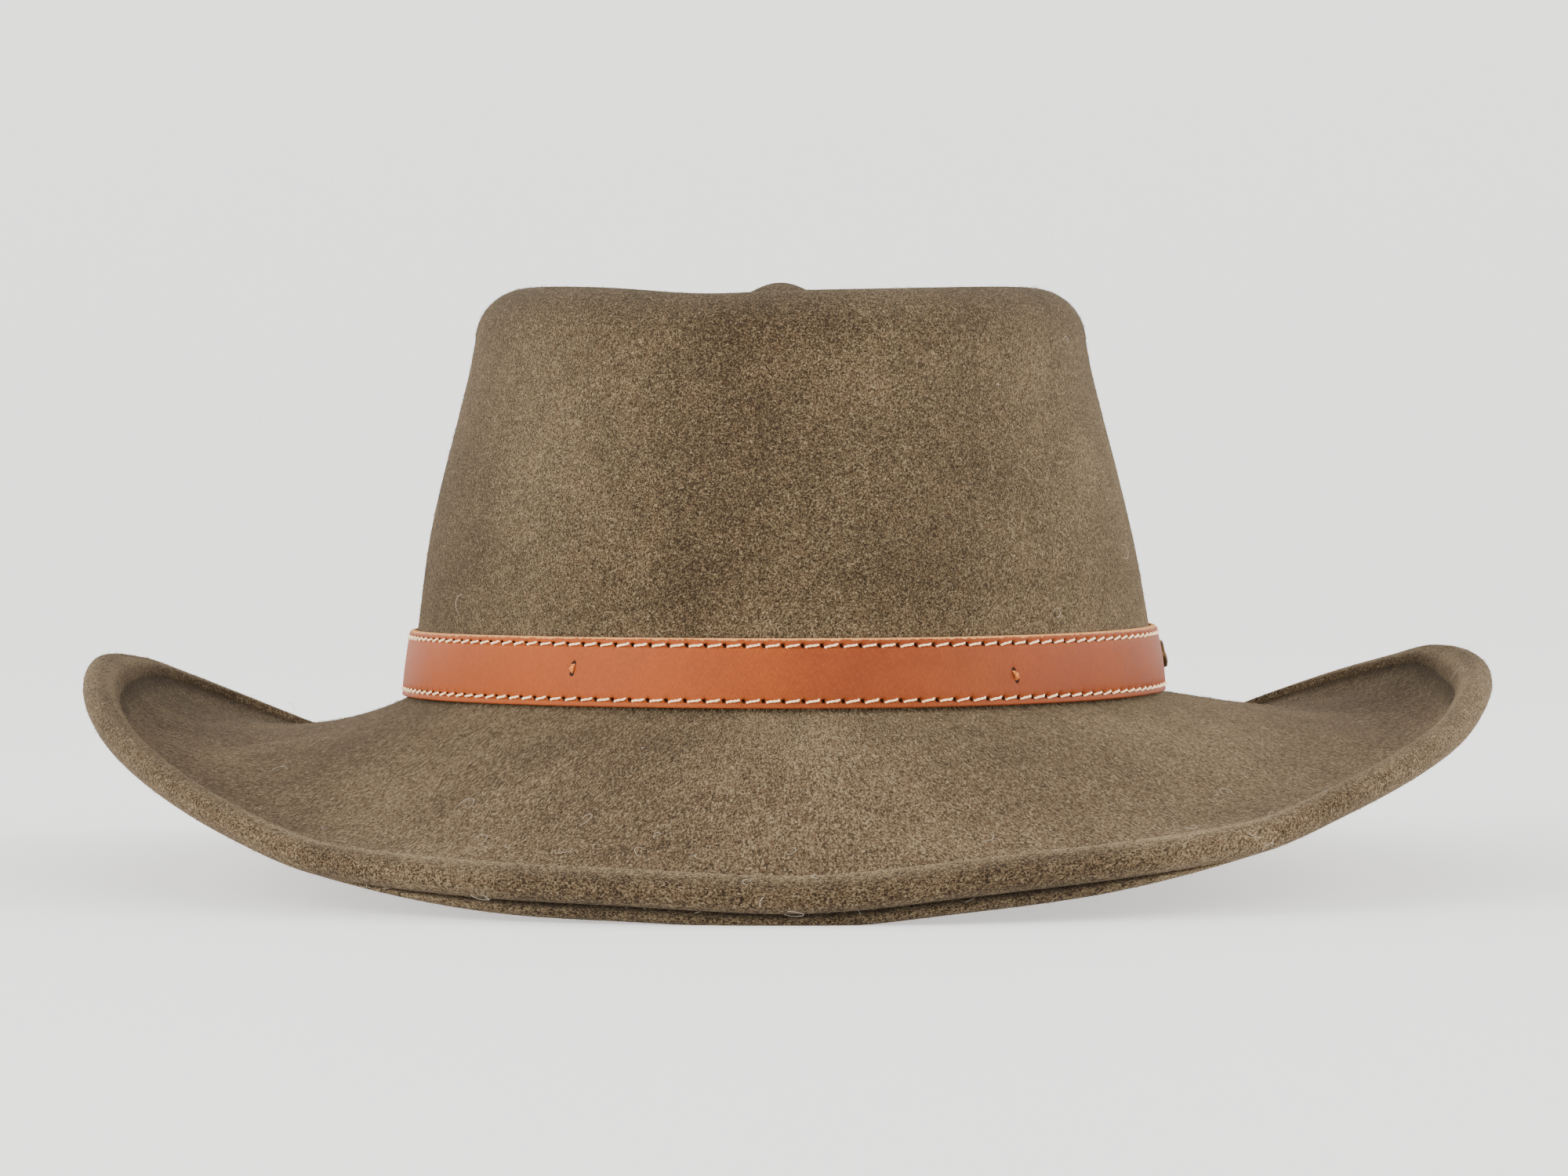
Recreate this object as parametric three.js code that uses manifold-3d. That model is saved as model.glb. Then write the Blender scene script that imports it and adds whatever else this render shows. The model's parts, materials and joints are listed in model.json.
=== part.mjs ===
// A felt gambler hat: an oval crown pushed in at the top round a low centre dome, a wide brim
// that dips at the front and back and curls up at the sides, and a stitched leather strap.
// Millimetres, +Z up. The front of the hat faces -Y and the wearer's left is +X.
// The origin is on the surface that the hat rests on, under the middle of its overall box.

import * as THREE from 'three';
import { mergeVertices } from 'three/addons/utils/BufferGeometryUtils.js';
import Module from 'manifold-3d';

const radians = THREE.MathUtils.degToRad;

// Felt
const FELT_THICKNESS = 2.4;

// Head oval: the line where the crown meets the brim, as half sizes
const HEAD_HALF_WIDTH = 88;
const HEAD_HALF_LENGTH = 105;
const FOOT_HEIGHT = 40.5;
const FOOT_LEAN = 0.6;
const BREAK_RADIUS = 1.5;
// How far the oval's middle is to the wearer's right of the middle of the brim
const OVAL_OFF_CENTRE = 0.9;

// Crown: a bulged wall, a rounded shoulder and a valley round the centre dome
const SHOULDER_HEIGHT = 136.15;
const SHOULDER_RADIUS = 12.5;
const SHOULDER_INSET = 28.5;
const SHOULDER_DROP_AT_ENDS = 2.6;
const CROWN_SHIFT = -0.8;
const CROWN_SHIFT_FROM = 45;
const CROWN_SHIFT_TO = 90;
const VALLEY_HEIGHT = 121;
const VALLEY_AT = 0.66;
const DOME_HEIGHT = 135.5;
const TIP_HEIGHT = 2.4;
const TIP_RADIUS = 9;
const DIP_DEPTH = 1.0;
const DIP_TURN = 251;
const DIP_SPREAD = 17;
const SAG_FREE_RADIUS = 5;

// Crown wall from the shoulder to the foot: height above the foot and how far in from the head oval
const CROWN_WALL = [
  { height: 76.6, inset: 14.8 },
  { height: 65.2, inset: 12.0 },
  { height: 50.4, inset: 8.2 },
  { height: 35.6, inset: 4.9 },
  { height: 20.8, inset: 2.6 },
  { height: 9.0, inset: 0.9 },
  { height: 3.0, inset: 0.1 },
];

// Brim: length of its top surface from the break to the turned edge
const BRIM_LENGTH = 73.5;
const BRIM_LENGTH_AT_TIPS = 71;
const BRIM_PULL = 0.3;
const BRIM_REACH_LEAST = 30;
const BRIM_REACH_MOST = 90;
const BRIM_REACH_ROUNDS = 24;

// Brim edge by turn, in degrees from the side (0) to the front or back (90): height of the brim's
// end above the floor on the wearer's right and left, and its slope there, in degrees above level
const BRIM_EDGE = [
  { turn: 0, right: 43.4, left: 43.8, slope: 50 },
  { turn: 15, right: 39.6, left: 42.0, slope: 50 },
  { turn: 25, right: 34.3, left: 37.5, slope: 46 },
  { turn: 35, right: 28.0, left: 32.7, slope: 38 },
  { turn: 45, right: 21.2, left: 27.0, slope: 24 },
  { turn: 55, right: 15.0, left: 20.2, slope: 4 },
  { turn: 67, right: 10.5, left: 14.2, slope: -14 },
  { turn: 78, right: 8.6, left: 10.6, slope: -23 },
  { turn: 90, right: 7.4, left: 7.4, slope: -28 },
];
// How much higher the curls are towards the back
const RIGHT_CURL_TO_BACK = 9.2;
const LEFT_CURL_TO_BACK = 11.5;
// Half the width, as a share of the side's, over which the right side's figures give way to the left's
const SIDE_BLEND = 0.35;

// Slope at which the brim leaves the crown, in degrees above level
const BRIM_START_AT_RIGHT = -27;
const BRIM_START_AT_LEFT = -6;
const BRIM_START_AT_ENDS = -20;

// Turned edge: a flattened roll on the brim's end, and the lip of the turn that shows under it
const ROLL_HALF_WIDTH = 4.5;
const ROLL_HALF_HEIGHT = 3.5;
const ROLL_RISE_AT_SIDES = -2.0;
const ROLL_RISE_AT_ENDS = 1.0;
const ROLL_ROOT = 1.2;
const LIP_GAP = 0.5;
const LIP_GROOVE = 4.7;
const LIP_REACH = 7.9;
const LIP_SLANT = 0.5;
const LIP_FACET = 3.5;
const LIP_ROOT = 5;
const LIP_ROOT_DROP = 1.2;
// Degrees round the roll where its outer face ends, and of the points under it where no lip shows
const ROLL_FACE_END = -62;
const ROLL_UNDER = [-84, -106, -126, -145];
// The lip shows from the first of these shares of the front or back's length, in full from the second
const LIP_FROM = 0.78;
const LIP_FULL = 0.97;

// Strap
const STRAP_HEIGHT = 15.2;
const STRAP_THICKNESS = 1.6;
const STRAP_ABOVE_FOOT = 1.0;
const STRAP_TOP_FLAT = 0.9;
const STRAP_TOP_BEVEL = 0.8;
const STRAP_FOOT_FLAT = 0.95;
const STRAP_FOOT_BEVEL = 0.6;
const STRAP_FOOT_FLARE = 0.1;
// The strap's ends meet at the back, this many degrees apart
const STRAP_SEAM = 0.3;
const FIT_GAP = 0.3;

// Stud on the strap
const STUD_WIDTH = 8;
const STUD_HEIGHT = 6.6;
const STUD_THICKNESS = 0.7;
const STUD_BEVEL = 0.15;
const STUD_BOSS_RADIUS = 2;
const STUD_BOSS_RISE = 0.6;
const STUD_BOSS_DROP = 1.3;
const STUD_POST_RADIUS = 0.9;
const STUD_ABOVE_STRAP_FOOT = 8.1;
const STUD_LEAN_SPAN = 5;
const POST_HOLE_LENGTH = 12;

// Fineness
const AROUND = 72;
const FELT_STEPS = { top: 12, shoulder: 5, wall: 6, bend: 3, brim: 9, roll: 8 };
const WALL_STEPS = 40;
const POST_SIDES = 12;
const POST_HOLE_TURN = 0.2;
const BOSS_SIDES = 16;
const BOSS_RINGS = 8;
const WELD = 0.0001;
const CUT_WELD = 0.01;

const smooth = (value, from, to) => THREE.MathUtils.smoothstep(value, from, to);

// A curve through a table's values, even about the side and the front
function evenCurve(rows, column) {
  const mirroredLow = rows.slice(1).reverse().map((row) => [-row.turn, row[column]]);
  const middle = rows.map((row) => [row.turn, row[column]]);
  const mirroredHigh = rows.slice(0, -1).reverse().map((row) => [180 - row.turn, row[column]]);
  const points = [...mirroredLow, ...middle, ...mirroredHigh];
  const slopes = points.map((point, i) => {
    const before = points[Math.max(i - 1, 0)];
    const after = points[Math.min(i + 1, points.length - 1)];
    return (after[1] - before[1]) / (after[0] - before[0]);
  });
  return (turn) => {
    let i = 0;
    while (i < points.length - 2 && points[i + 1][0] < turn) i += 1;
    const span = points[i + 1][0] - points[i][0];
    const t = (turn - points[i][0]) / span;
    const start = points[i][1];
    const end = points[i + 1][1];
    const startPull = slopes[i] * span;
    const endPull = slopes[i + 1] * span;
    return start * (2 * t ** 3 - 3 * t ** 2 + 1) + startPull * (t ** 3 - 2 * t ** 2 + t)
      + end * (3 * t ** 2 - 2 * t ** 3) + endPull * (t ** 3 - t ** 2);
  };
}

const edgeRight = evenCurve(BRIM_EDGE, 'right');
const edgeLeft = evenCurve(BRIM_EDGE, 'left');
const edgeSlope = evenCurve(BRIM_EDGE, 'slope');
const WALL_TOP = SHOULDER_HEIGHT - SHOULDER_RADIUS;
const wallCurve = new THREE.SplineCurve([
  new THREE.Vector2(-SHOULDER_INSET + SHOULDER_RADIUS, WALL_TOP - FOOT_HEIGHT),
  ...CROWN_WALL.map((row) => new THREE.Vector2(-row.inset, row.height)),
]);

const footHeight = (angle) => FOOT_HEIGHT + FOOT_LEAN * Math.cos(angle) ** 3;

// Lines are drawn in upright planes square to the head oval, as how far out from it and how high.
// place() sets such a point into space. Inside the shoulder the planes gather on the middle.
function place(angle, out, up) {
  const cos = Math.cos(angle);
  const sin = Math.sin(angle);
  const normal = new THREE.Vector2(cos / HEAD_HALF_WIDTH, sin / HEAD_HALF_LENGTH).normalize();
  const kept = Math.max(out, -SHOULDER_INSET);
  const gather = 1 + (Math.min(out, -SHOULDER_INSET) + SHOULDER_INSET) / (HEAD_HALF_WIDTH - SHOULDER_INSET);
  const x = (HEAD_HALF_WIDTH * cos + normal.x * kept) * gather - OVAL_OFF_CENTRE;
  const y = (HEAD_HALF_LENGTH * sin + normal.y * kept) * gather;
  const shift = CROWN_SHIFT * smooth(up, CROWN_SHIFT_FROM, CROWN_SHIFT_TO);
  return new THREE.Vector3(x + shift, y, up);
}

// How far the crown's top is lowered at an angle: at the front and back, and in one soft dip
function crownSag(angle) {
  const away = THREE.MathUtils.euclideanModulo(THREE.MathUtils.radToDeg(angle) - DIP_TURN + 180, 360) - 180;
  return -DIP_DEPTH * Math.exp(-((away / DIP_SPREAD) ** 2)) - SHOULDER_DROP_AT_ENDS * Math.sin(angle) ** 2;
}

// Top of the crown from the tip (0) to the shoulder (1)
function crownTop(share) {
  const domeShare = Math.min(share / VALLEY_AT, 1);
  const dome = VALLEY_HEIGHT + (DOME_HEIGHT - VALLEY_HEIGHT) * (1 + Math.cos(Math.PI * domeShare)) / 2;
  const flank = (SHOULDER_HEIGHT - VALLEY_HEIGHT) * smooth(share, VALLEY_AT, 1);
  const span = HEAD_HALF_WIDTH - SHOULDER_INSET;
  const tip = TIP_HEIGHT * Math.exp(-((share * span / TIP_RADIUS) ** 2));
  return new THREE.Vector2(-HEAD_HALF_WIDTH + share * span, dome + flank + tip);
}

// The outside of the crown at an angle, from the tip down to the break, a point each step
function crownLine(angle, steps) {
  const points = [];
  const foot = footHeight(angle);
  for (let i = 0; i < steps.top; i += 1) points.push(crownTop(i / steps.top));
  for (let i = 0; i < steps.shoulder; i += 1) {
    const turn = (Math.PI / 2) * (1 - i / steps.shoulder);
    points.push(new THREE.Vector2(
      -SHOULDER_INSET + SHOULDER_RADIUS * Math.cos(turn),
      SHOULDER_HEIGHT - SHOULDER_RADIUS * (1 - Math.sin(turn)),
    ));
  }
  for (let i = 0; i <= steps.wall; i += 1) {
    const point = wallCurve.getPointAt(i / steps.wall);
    points.push(new THREE.Vector2(point.x, foot + point.y * ((WALL_TOP - foot) / (WALL_TOP - FOOT_HEIGHT))));
  }
  const sag = crownSag(angle);
  for (const point of points) {
    const inward = smooth(point.x, -HEAD_HALF_WIDTH + SAG_FREE_RADIUS, -SHOULDER_INSET);
    point.y += sag * inward * smooth(point.y, foot, SHOULDER_HEIGHT);
  }
  return points;
}

// How the brim runs at an angle
function brimAt(angle) {
  const cos = Math.cos(angle);
  const sin = Math.sin(angle);
  const turn = THREE.MathUtils.radToDeg(Math.atan2(Math.abs(sin), Math.abs(cos)));
  const side = cos * cos;
  const onLeft = smooth(cos, -SIDE_BLEND, SIDE_BLEND);
  const edge = THREE.MathUtils.lerp(edgeRight(turn), edgeLeft(turn), onLeft);
  const toBack = THREE.MathUtils.lerp(RIGHT_CURL_TO_BACK, LEFT_CURL_TO_BACK, onLeft);
  const sideStart = THREE.MathUtils.lerp(BRIM_START_AT_RIGHT, BRIM_START_AT_LEFT, onLeft);
  const ends = smooth(Math.abs(sin), LIP_FROM, LIP_FULL);
  return {
    height: edge + toBack * sin * side,
    endSlope: radians(edgeSlope(turn)),
    startSlope: radians(THREE.MathUtils.lerp(BRIM_START_AT_ENDS, sideStart, side)),
    rise: THREE.MathUtils.lerp(ROLL_RISE_AT_SIDES, ROLL_RISE_AT_ENDS, ends),
    lip: ends,
    length: THREE.MathUtils.lerp(BRIM_LENGTH, BRIM_LENGTH_AT_TIPS, side ** 3),
  };
}

// The brim's top line from the break to its end: a small arc, then one curve of the set length
function brimLine(angle, steps) {
  const brim = brimAt(angle);
  const foot = footHeight(angle);
  const points = [];
  const centre = new THREE.Vector2(BREAK_RADIUS, foot + BREAK_RADIUS);
  for (let i = 1; i <= steps.bend; i += 1) {
    const heading = THREE.MathUtils.lerp(-Math.PI / 2, brim.startSlope, i / steps.bend);
    points.push(new THREE.Vector2(
      centre.x + BREAK_RADIUS * Math.sin(heading),
      centre.y - BREAK_RADIUS * Math.cos(heading),
    ));
  }
  const start = points[points.length - 1];
  let near = BRIM_REACH_LEAST;
  let far = BRIM_REACH_MOST;
  let curve;
  for (let i = 0; i < BRIM_REACH_ROUNDS; i += 1) {
    const reach = (near + far) / 2;
    const end = new THREE.Vector2(start.x + reach, brim.height);
    const pull = start.distanceTo(end) * BRIM_PULL;
    const leaving = new THREE.Vector2(Math.cos(brim.startSlope), Math.sin(brim.startSlope));
    const arriving = new THREE.Vector2(Math.cos(brim.endSlope), Math.sin(brim.endSlope));
    curve = new THREE.CubicBezierCurve(
      start,
      start.clone().addScaledVector(leaving, pull),
      end.clone().addScaledVector(arriving, -pull),
      end,
    );
    if (curve.getLength() < brim.length) near = reach;
    else far = reach;
  }
  for (let i = 1; i <= steps.brim; i += 1) points.push(curve.getPointAt(i / steps.brim));
  return points;
}

// The turned edge, from the brim's top over the roll and round the lip to the brim's underside
function edgeLine(angle, end, steps) {
  const brim = brimAt(angle);
  const along = new THREE.Vector2(Math.cos(brim.endSlope), Math.sin(brim.endSlope));
  const up = new THREE.Vector2(-along.y, along.x);
  const at = (reach, rise) => end.clone().addScaledVector(along, reach).addScaledVector(up, rise);
  const roll = (turn) => at(
    ROLL_HALF_WIDTH * (1 + Math.cos(turn)),
    brim.rise + ROLL_HALF_HEIGHT * Math.sin(turn),
  );
  const first = Math.PI + Math.asin(brim.rise / ROLL_HALF_HEIGHT);
  const last = radians(ROLL_FACE_END);
  const points = [];
  for (let i = 0; i <= steps.roll; i += 1) {
    points.push(roll(THREE.MathUtils.lerp(first, last, i / steps.roll)));
  }
  const lipTop = brim.rise - ROLL_HALF_HEIGHT - LIP_GAP;
  const bottom = at(LIP_REACH - LIP_SLANT, lipTop - FELT_THICKNESS);
  const shown = [
    at(LIP_GROOVE, lipTop + LIP_GAP / 2),
    at(LIP_REACH, lipTop),
    bottom,
    new THREE.Vector2(bottom.x - LIP_FACET, bottom.y),
    at(-LIP_ROOT, -FELT_THICKNESS - LIP_ROOT_DROP),
  ];
  const hidden = [...ROLL_UNDER.map((turn) => roll(radians(turn))), at(-ROLL_ROOT, -FELT_THICKNESS)];
  shown.forEach((point, i) => {
    const blended = hidden[i].clone().lerp(point, brim.lip);
    blended.y = Math.max(blended.y, 0);
    points.push(blended);
  });
  return points;
}

// A line set back square to itself by a distance
function setBack(line, distance) {
  return line.map((point, i) => {
    const before = line[Math.max(i - 1, 0)];
    const after = line[Math.min(i + 1, line.length - 1)];
    const along = after.clone().sub(before).normalize();
    return new THREE.Vector2(point.x + along.y * distance, point.y - along.x * distance);
  });
}

// The felt's whole outline at an angle: outside from the tip to the edge, then back underneath
function feltOutline(angle) {
  const crown = crownLine(angle, FELT_STEPS);
  const top = [...crown, ...brimLine(angle, FELT_STEPS)];
  const edge = edgeLine(angle, top[top.length - 1], FELT_STEPS);
  const under = setBack(top, FELT_THICKNESS);
  under[0].set(top[0].x, top[0].y - FELT_THICKNESS);
  const underCrown = under.slice(0, crown.length).filter((point, i) => i % 2 === 0);
  const underBrim = under.slice(crown.length + 1, -1);
  return [...top.slice(0, -1), ...edge, ...underBrim.reverse(), ...underCrown.reverse()];
}

// A turned blank whose rings are then set to the outline at each angle. The first and last rings
// meet, or with a seam they stand apart by that angle about a start angle and are closed with caps.
function turned(outlineAt, around, seam = 0, start = 0) {
  const ringAt = (angle) => outlineAt(angle).reverse();
  const blank = ringAt(start);
  const geometry = new THREE.LatheGeometry(blank, around);
  const position = geometry.getAttribute('position');
  for (let i = 0; i <= around; i += 1) {
    const share = seam > 0 ? i / around : (i % around) / around;
    const angle = start + seam / 2 + share * (2 * Math.PI - seam);
    ringAt(angle).forEach((point, j) => {
      const placed = place(angle, point.x, point.y);
      position.setXYZ(i * blank.length + j, placed.x, placed.y, placed.z);
    });
  }
  if (seam > 0) {
    const cap = THREE.ShapeUtils.triangulateShape(blank.slice(0, -1), []);
    const last = around * blank.length;
    const ends = cap.flatMap(([a, b, c]) => [a, b, c, last + a, last + c, last + b]);
    geometry.setIndex([...geometry.getIndex().array, ...ends]);
  }
  return welded(geometry);
}

// Corners that lie within a distance become one, and faces left with no area go
function welded(geometry, within = WELD) {
  geometry.deleteAttribute('normal');
  geometry.deleteAttribute('uv');
  const merged = mergeVertices(geometry, within);
  const index = Array.from(merged.getIndex().array);
  const kept = [];
  for (let i = 0; i < index.length; i += 3) {
    const [a, b, c] = index.slice(i, i + 3);
    if (a !== b && b !== c && c !== a) kept.push(a, b, c);
  }
  merged.setIndex(kept);
  merged.computeVertexNormals();
  return merged;
}

const wasm = await Module();
wasm.setup();

function toSolid(geometry) {
  const clean = welded(geometry.clone());
  return new wasm.Manifold(new wasm.Mesh({
    numProp: 3,
    vertProperties: new Float32Array(clean.getAttribute('position').array),
    triVerts: new Uint32Array(clean.getIndex().array),
  }));
}

function toGeometry(solid) {
  const mesh = solid.getMesh();
  const geometry = new THREE.BufferGeometry();
  geometry.setAttribute('position', new THREE.BufferAttribute(new Float32Array(mesh.vertProperties), 3));
  geometry.setIndex(Array.from(mesh.triVerts));
  return welded(geometry, CUT_WELD);
}

// The crown wall's distance from the head oval at a height, for what lies against it
function wallOut(angle, height) {
  const line = crownLine(angle, { top: 0, shoulder: 0, wall: WALL_STEPS });
  let i = 0;
  while (i < line.length - 2 && line[i + 1].y > height) i += 1;
  const t = (height - line[i].y) / (line[i + 1].y - line[i].y);
  return THREE.MathUtils.lerp(line[i].x, line[i + 1].x, THREE.MathUtils.clamp(t, 0, 1));
}

// Strap section: it lies against the wall, with softened outer corners
function strapOutline(angle) {
  const low = footHeight(angle) + STRAP_ABOVE_FOOT;
  const high = low + STRAP_HEIGHT;
  const middle = (low + high) / 2;
  const inLow = wallOut(angle, low) + FIT_GAP;
  const inMiddle = wallOut(angle, middle) + FIT_GAP;
  const inHigh = wallOut(angle, high) + FIT_GAP;
  return [
    new THREE.Vector2(inHigh, high),
    new THREE.Vector2(inHigh + STRAP_TOP_FLAT, high),
    new THREE.Vector2(inHigh + STRAP_THICKNESS, high - STRAP_TOP_BEVEL),
    new THREE.Vector2(inMiddle + STRAP_THICKNESS, middle),
    new THREE.Vector2(inLow + STRAP_THICKNESS + STRAP_FOOT_FLARE, low + STRAP_FOOT_BEVEL),
    new THREE.Vector2(inLow + STRAP_FOOT_FLAT, low),
    new THREE.Vector2(inLow, low),
    new THREE.Vector2(inMiddle, middle),
    new THREE.Vector2(inHigh, high),
  ];
}

// Where the stud sits: on the strap's outer face at the wearer's left, square to that face
const studLow = footHeight(0) + STRAP_ABOVE_FOOT + STUD_ABOVE_STRAP_FOOT;
const studFoot = place(0, wallOut(0, studLow) + FIT_GAP + STRAP_THICKNESS, studLow);
const strapLean = Math.atan2(
  wallOut(0, studLow - STUD_LEAN_SPAN) - wallOut(0, studLow + STUD_LEAN_SPAN),
  2 * STUD_LEAN_SPAN,
);
const studFrame = new THREE.Matrix4()
  .makeRotationY(Math.PI / 2 - strapLean)
  .setPosition(studFoot.x, studFoot.y, studFoot.z);

const felt = new THREE.Mesh(
  turned(feltOutline, AROUND),
  new THREE.MeshStandardMaterial({ color: 0x75664c, roughness: 0.95, metalness: 0 }),
);
felt.name = 'felt_body';

// The strap, with the hole for the stud's post turned so that none of its sides runs along an edge
const holeRadius = STUD_POST_RADIUS + FIT_GAP;
const postHole = new THREE.CylinderGeometry(holeRadius, holeRadius, POST_HOLE_LENGTH, POST_SIDES);
postHole.rotateY(POST_HOLE_TURN);
postHole.rotateX(Math.PI / 2);
postHole.applyMatrix4(studFrame);
const strapBlank = turned(strapOutline, AROUND, radians(STRAP_SEAM), Math.PI / 2);
const strap = new THREE.Mesh(
  toGeometry(toSolid(strapBlank).subtract(toSolid(postHole))),
  new THREE.MeshStandardMaterial({ color: 0xb5673f, roughness: 0.55, metalness: 0 }),
);
strap.name = 'leather_band';

// Stud: a small oval plate with a boss low on its face, and a post through the strap
const plateShape = new THREE.Shape();
plateShape.absellipse(0, 0, STUD_HEIGHT / 2, STUD_WIDTH / 2, 0, 2 * Math.PI);
const plate = new THREE.ExtrudeGeometry(plateShape, {
  depth: STUD_THICKNESS - 2 * STUD_BEVEL,
  bevelThickness: STUD_BEVEL,
  bevelSize: STUD_BEVEL,
  bevelOffset: -STUD_BEVEL,
  bevelSegments: 1,
});
plate.translate(0, 0, FIT_GAP + STUD_BEVEL);
const boss = new THREE.SphereGeometry(1, BOSS_SIDES, BOSS_RINGS);
boss.scale(STUD_BOSS_RADIUS, STUD_BOSS_RADIUS, STUD_BOSS_RISE);
boss.translate(STUD_BOSS_DROP, 0, FIT_GAP + STUD_THICKNESS);
const postLength = STRAP_THICKNESS + FIT_GAP;
const post = new THREE.CylinderGeometry(STUD_POST_RADIUS, STUD_POST_RADIUS, postLength, POST_SIDES);
post.rotateX(Math.PI / 2);
post.translate(0, 0, FIT_GAP - STRAP_THICKNESS / 2);
const stud = new THREE.Mesh(
  toGeometry(toSolid(plate).add(toSolid(boss)).add(toSolid(post))),
  new THREE.MeshStandardMaterial({ color: 0x4a3420, roughness: 0.4, metalness: 0.9 }),
);
stud.name = 'side_pin';
stud.applyMatrix4(studFrame);

const hat = new THREE.Group();
hat.add(felt, strap, stud);

export default hat;
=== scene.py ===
# A felt gambler hat with a stitched leather band, resting on a pale studio floor.
# Sizes in the tables are in millimetres. The hat's front faces -Y, the wearer's left is +X.

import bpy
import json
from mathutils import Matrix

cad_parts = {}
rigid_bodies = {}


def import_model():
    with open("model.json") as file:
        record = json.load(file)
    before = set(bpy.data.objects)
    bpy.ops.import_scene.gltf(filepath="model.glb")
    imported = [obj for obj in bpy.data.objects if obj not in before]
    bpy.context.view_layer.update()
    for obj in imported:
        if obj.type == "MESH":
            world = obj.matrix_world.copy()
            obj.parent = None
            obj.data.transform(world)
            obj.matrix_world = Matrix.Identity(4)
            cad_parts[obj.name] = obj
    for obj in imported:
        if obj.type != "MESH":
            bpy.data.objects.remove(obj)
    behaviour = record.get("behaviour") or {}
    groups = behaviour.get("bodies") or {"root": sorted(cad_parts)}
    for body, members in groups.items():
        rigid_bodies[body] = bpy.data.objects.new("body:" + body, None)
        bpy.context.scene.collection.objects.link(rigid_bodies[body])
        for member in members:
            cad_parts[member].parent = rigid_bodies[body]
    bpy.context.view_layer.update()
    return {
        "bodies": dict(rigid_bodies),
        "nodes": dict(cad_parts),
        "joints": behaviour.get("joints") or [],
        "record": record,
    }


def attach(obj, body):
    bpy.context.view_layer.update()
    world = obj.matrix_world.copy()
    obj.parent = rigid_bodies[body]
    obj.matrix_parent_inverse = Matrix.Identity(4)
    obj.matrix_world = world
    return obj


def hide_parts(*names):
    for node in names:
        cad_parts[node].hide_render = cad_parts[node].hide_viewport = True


bl_info = {
    "name": "Gambler hat",
    "version": (1, 0, 0),
    "blender": (4, 5, 0),
    "location": "3D View > Sidebar > Hat",
    "description": "Builds a felt gambler hat with a stitched leather band",
    "category": "Add Mesh",
}

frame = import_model()

import json
import math
import random

import bpy
import numpy as np
from bpy.props import FloatProperty, FloatVectorProperty, IntProperty, PointerProperty
from mathutils import Vector, noise

MM = 0.001
BODY = "root"

# Crown wall from the shoulder to the foot: height above the foot, how far in from the head oval
CROWN_WALL = (
    {"height": 76.6, "inset": 14.8},
    {"height": 65.2, "inset": 12.0},
    {"height": 50.4, "inset": 8.2},
    {"height": 35.6, "inset": 4.9},
    {"height": 20.8, "inset": 2.6},
    {"height": 9.0, "inset": 0.9},
    {"height": 3.0, "inset": 0.1},
)

# Brim edge by turn, in degrees from the side (0) to the front or back (90): height of the brim's
# end on the wearer's right and left, and its slope there, in degrees above level
BRIM_EDGE = (
    {"turn": 0, "right": 43.4, "left": 43.8, "slope": 50},
    {"turn": 15, "right": 39.6, "left": 42.0, "slope": 50},
    {"turn": 25, "right": 34.3, "left": 37.5, "slope": 46},
    {"turn": 35, "right": 28.0, "left": 32.7, "slope": 38},
    {"turn": 45, "right": 21.2, "left": 27.0, "slope": 24},
    {"turn": 55, "right": 15.0, "left": 20.2, "slope": 4},
    {"turn": 67, "right": 10.5, "left": 14.2, "slope": -14},
    {"turn": 78, "right": 8.6, "left": 10.6, "slope": -23},
    {"turn": 90, "right": 7.4, "left": 7.4, "slope": -28},
)


# The band's small tacks: how far to the wearer's left of the middle, height on the band, lean
TACKS = ({"x": -47.3, "height": 8.3, "lean": 0.2}, {"x": 50.0, "height": 6.5, "lean": -0.35})


def from_screen(red, green, blue):
    """A colour as a screen shows it, 0 to 255, in the linear values that materials use."""
    def linear(value):
        share = value / 255
        return share / 12.92 if share <= 0.04045 else ((share + 0.055) / 1.055) ** 2.4
    return (linear(red), linear(green), linear(blue))


def length(name, description, millimetres):
    """A size that the sidebar shows, stored in metres."""
    return FloatProperty(name=name, description=description, default=millimetres * MM,
                         unit="LENGTH", subtype="DISTANCE", precision=4)


def factor(name, description, value):
    """A share, from 0 to 1."""
    return FloatProperty(name=name, description=description, default=value, subtype="FACTOR")


def degrees(name, description, value):
    """An angle, given in degrees and stored in radians."""
    return FloatProperty(name=name, description=description, default=math.radians(value),
                         unit="ROTATION", subtype="ANGLE")


def colour(name, description, red, green, blue):
    """A colour, given as a screen shows it."""
    return FloatVectorProperty(name=name, description=description, subtype="COLOR", size=3,
                               min=0, max=1, default=from_screen(red, green, blue))


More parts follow.
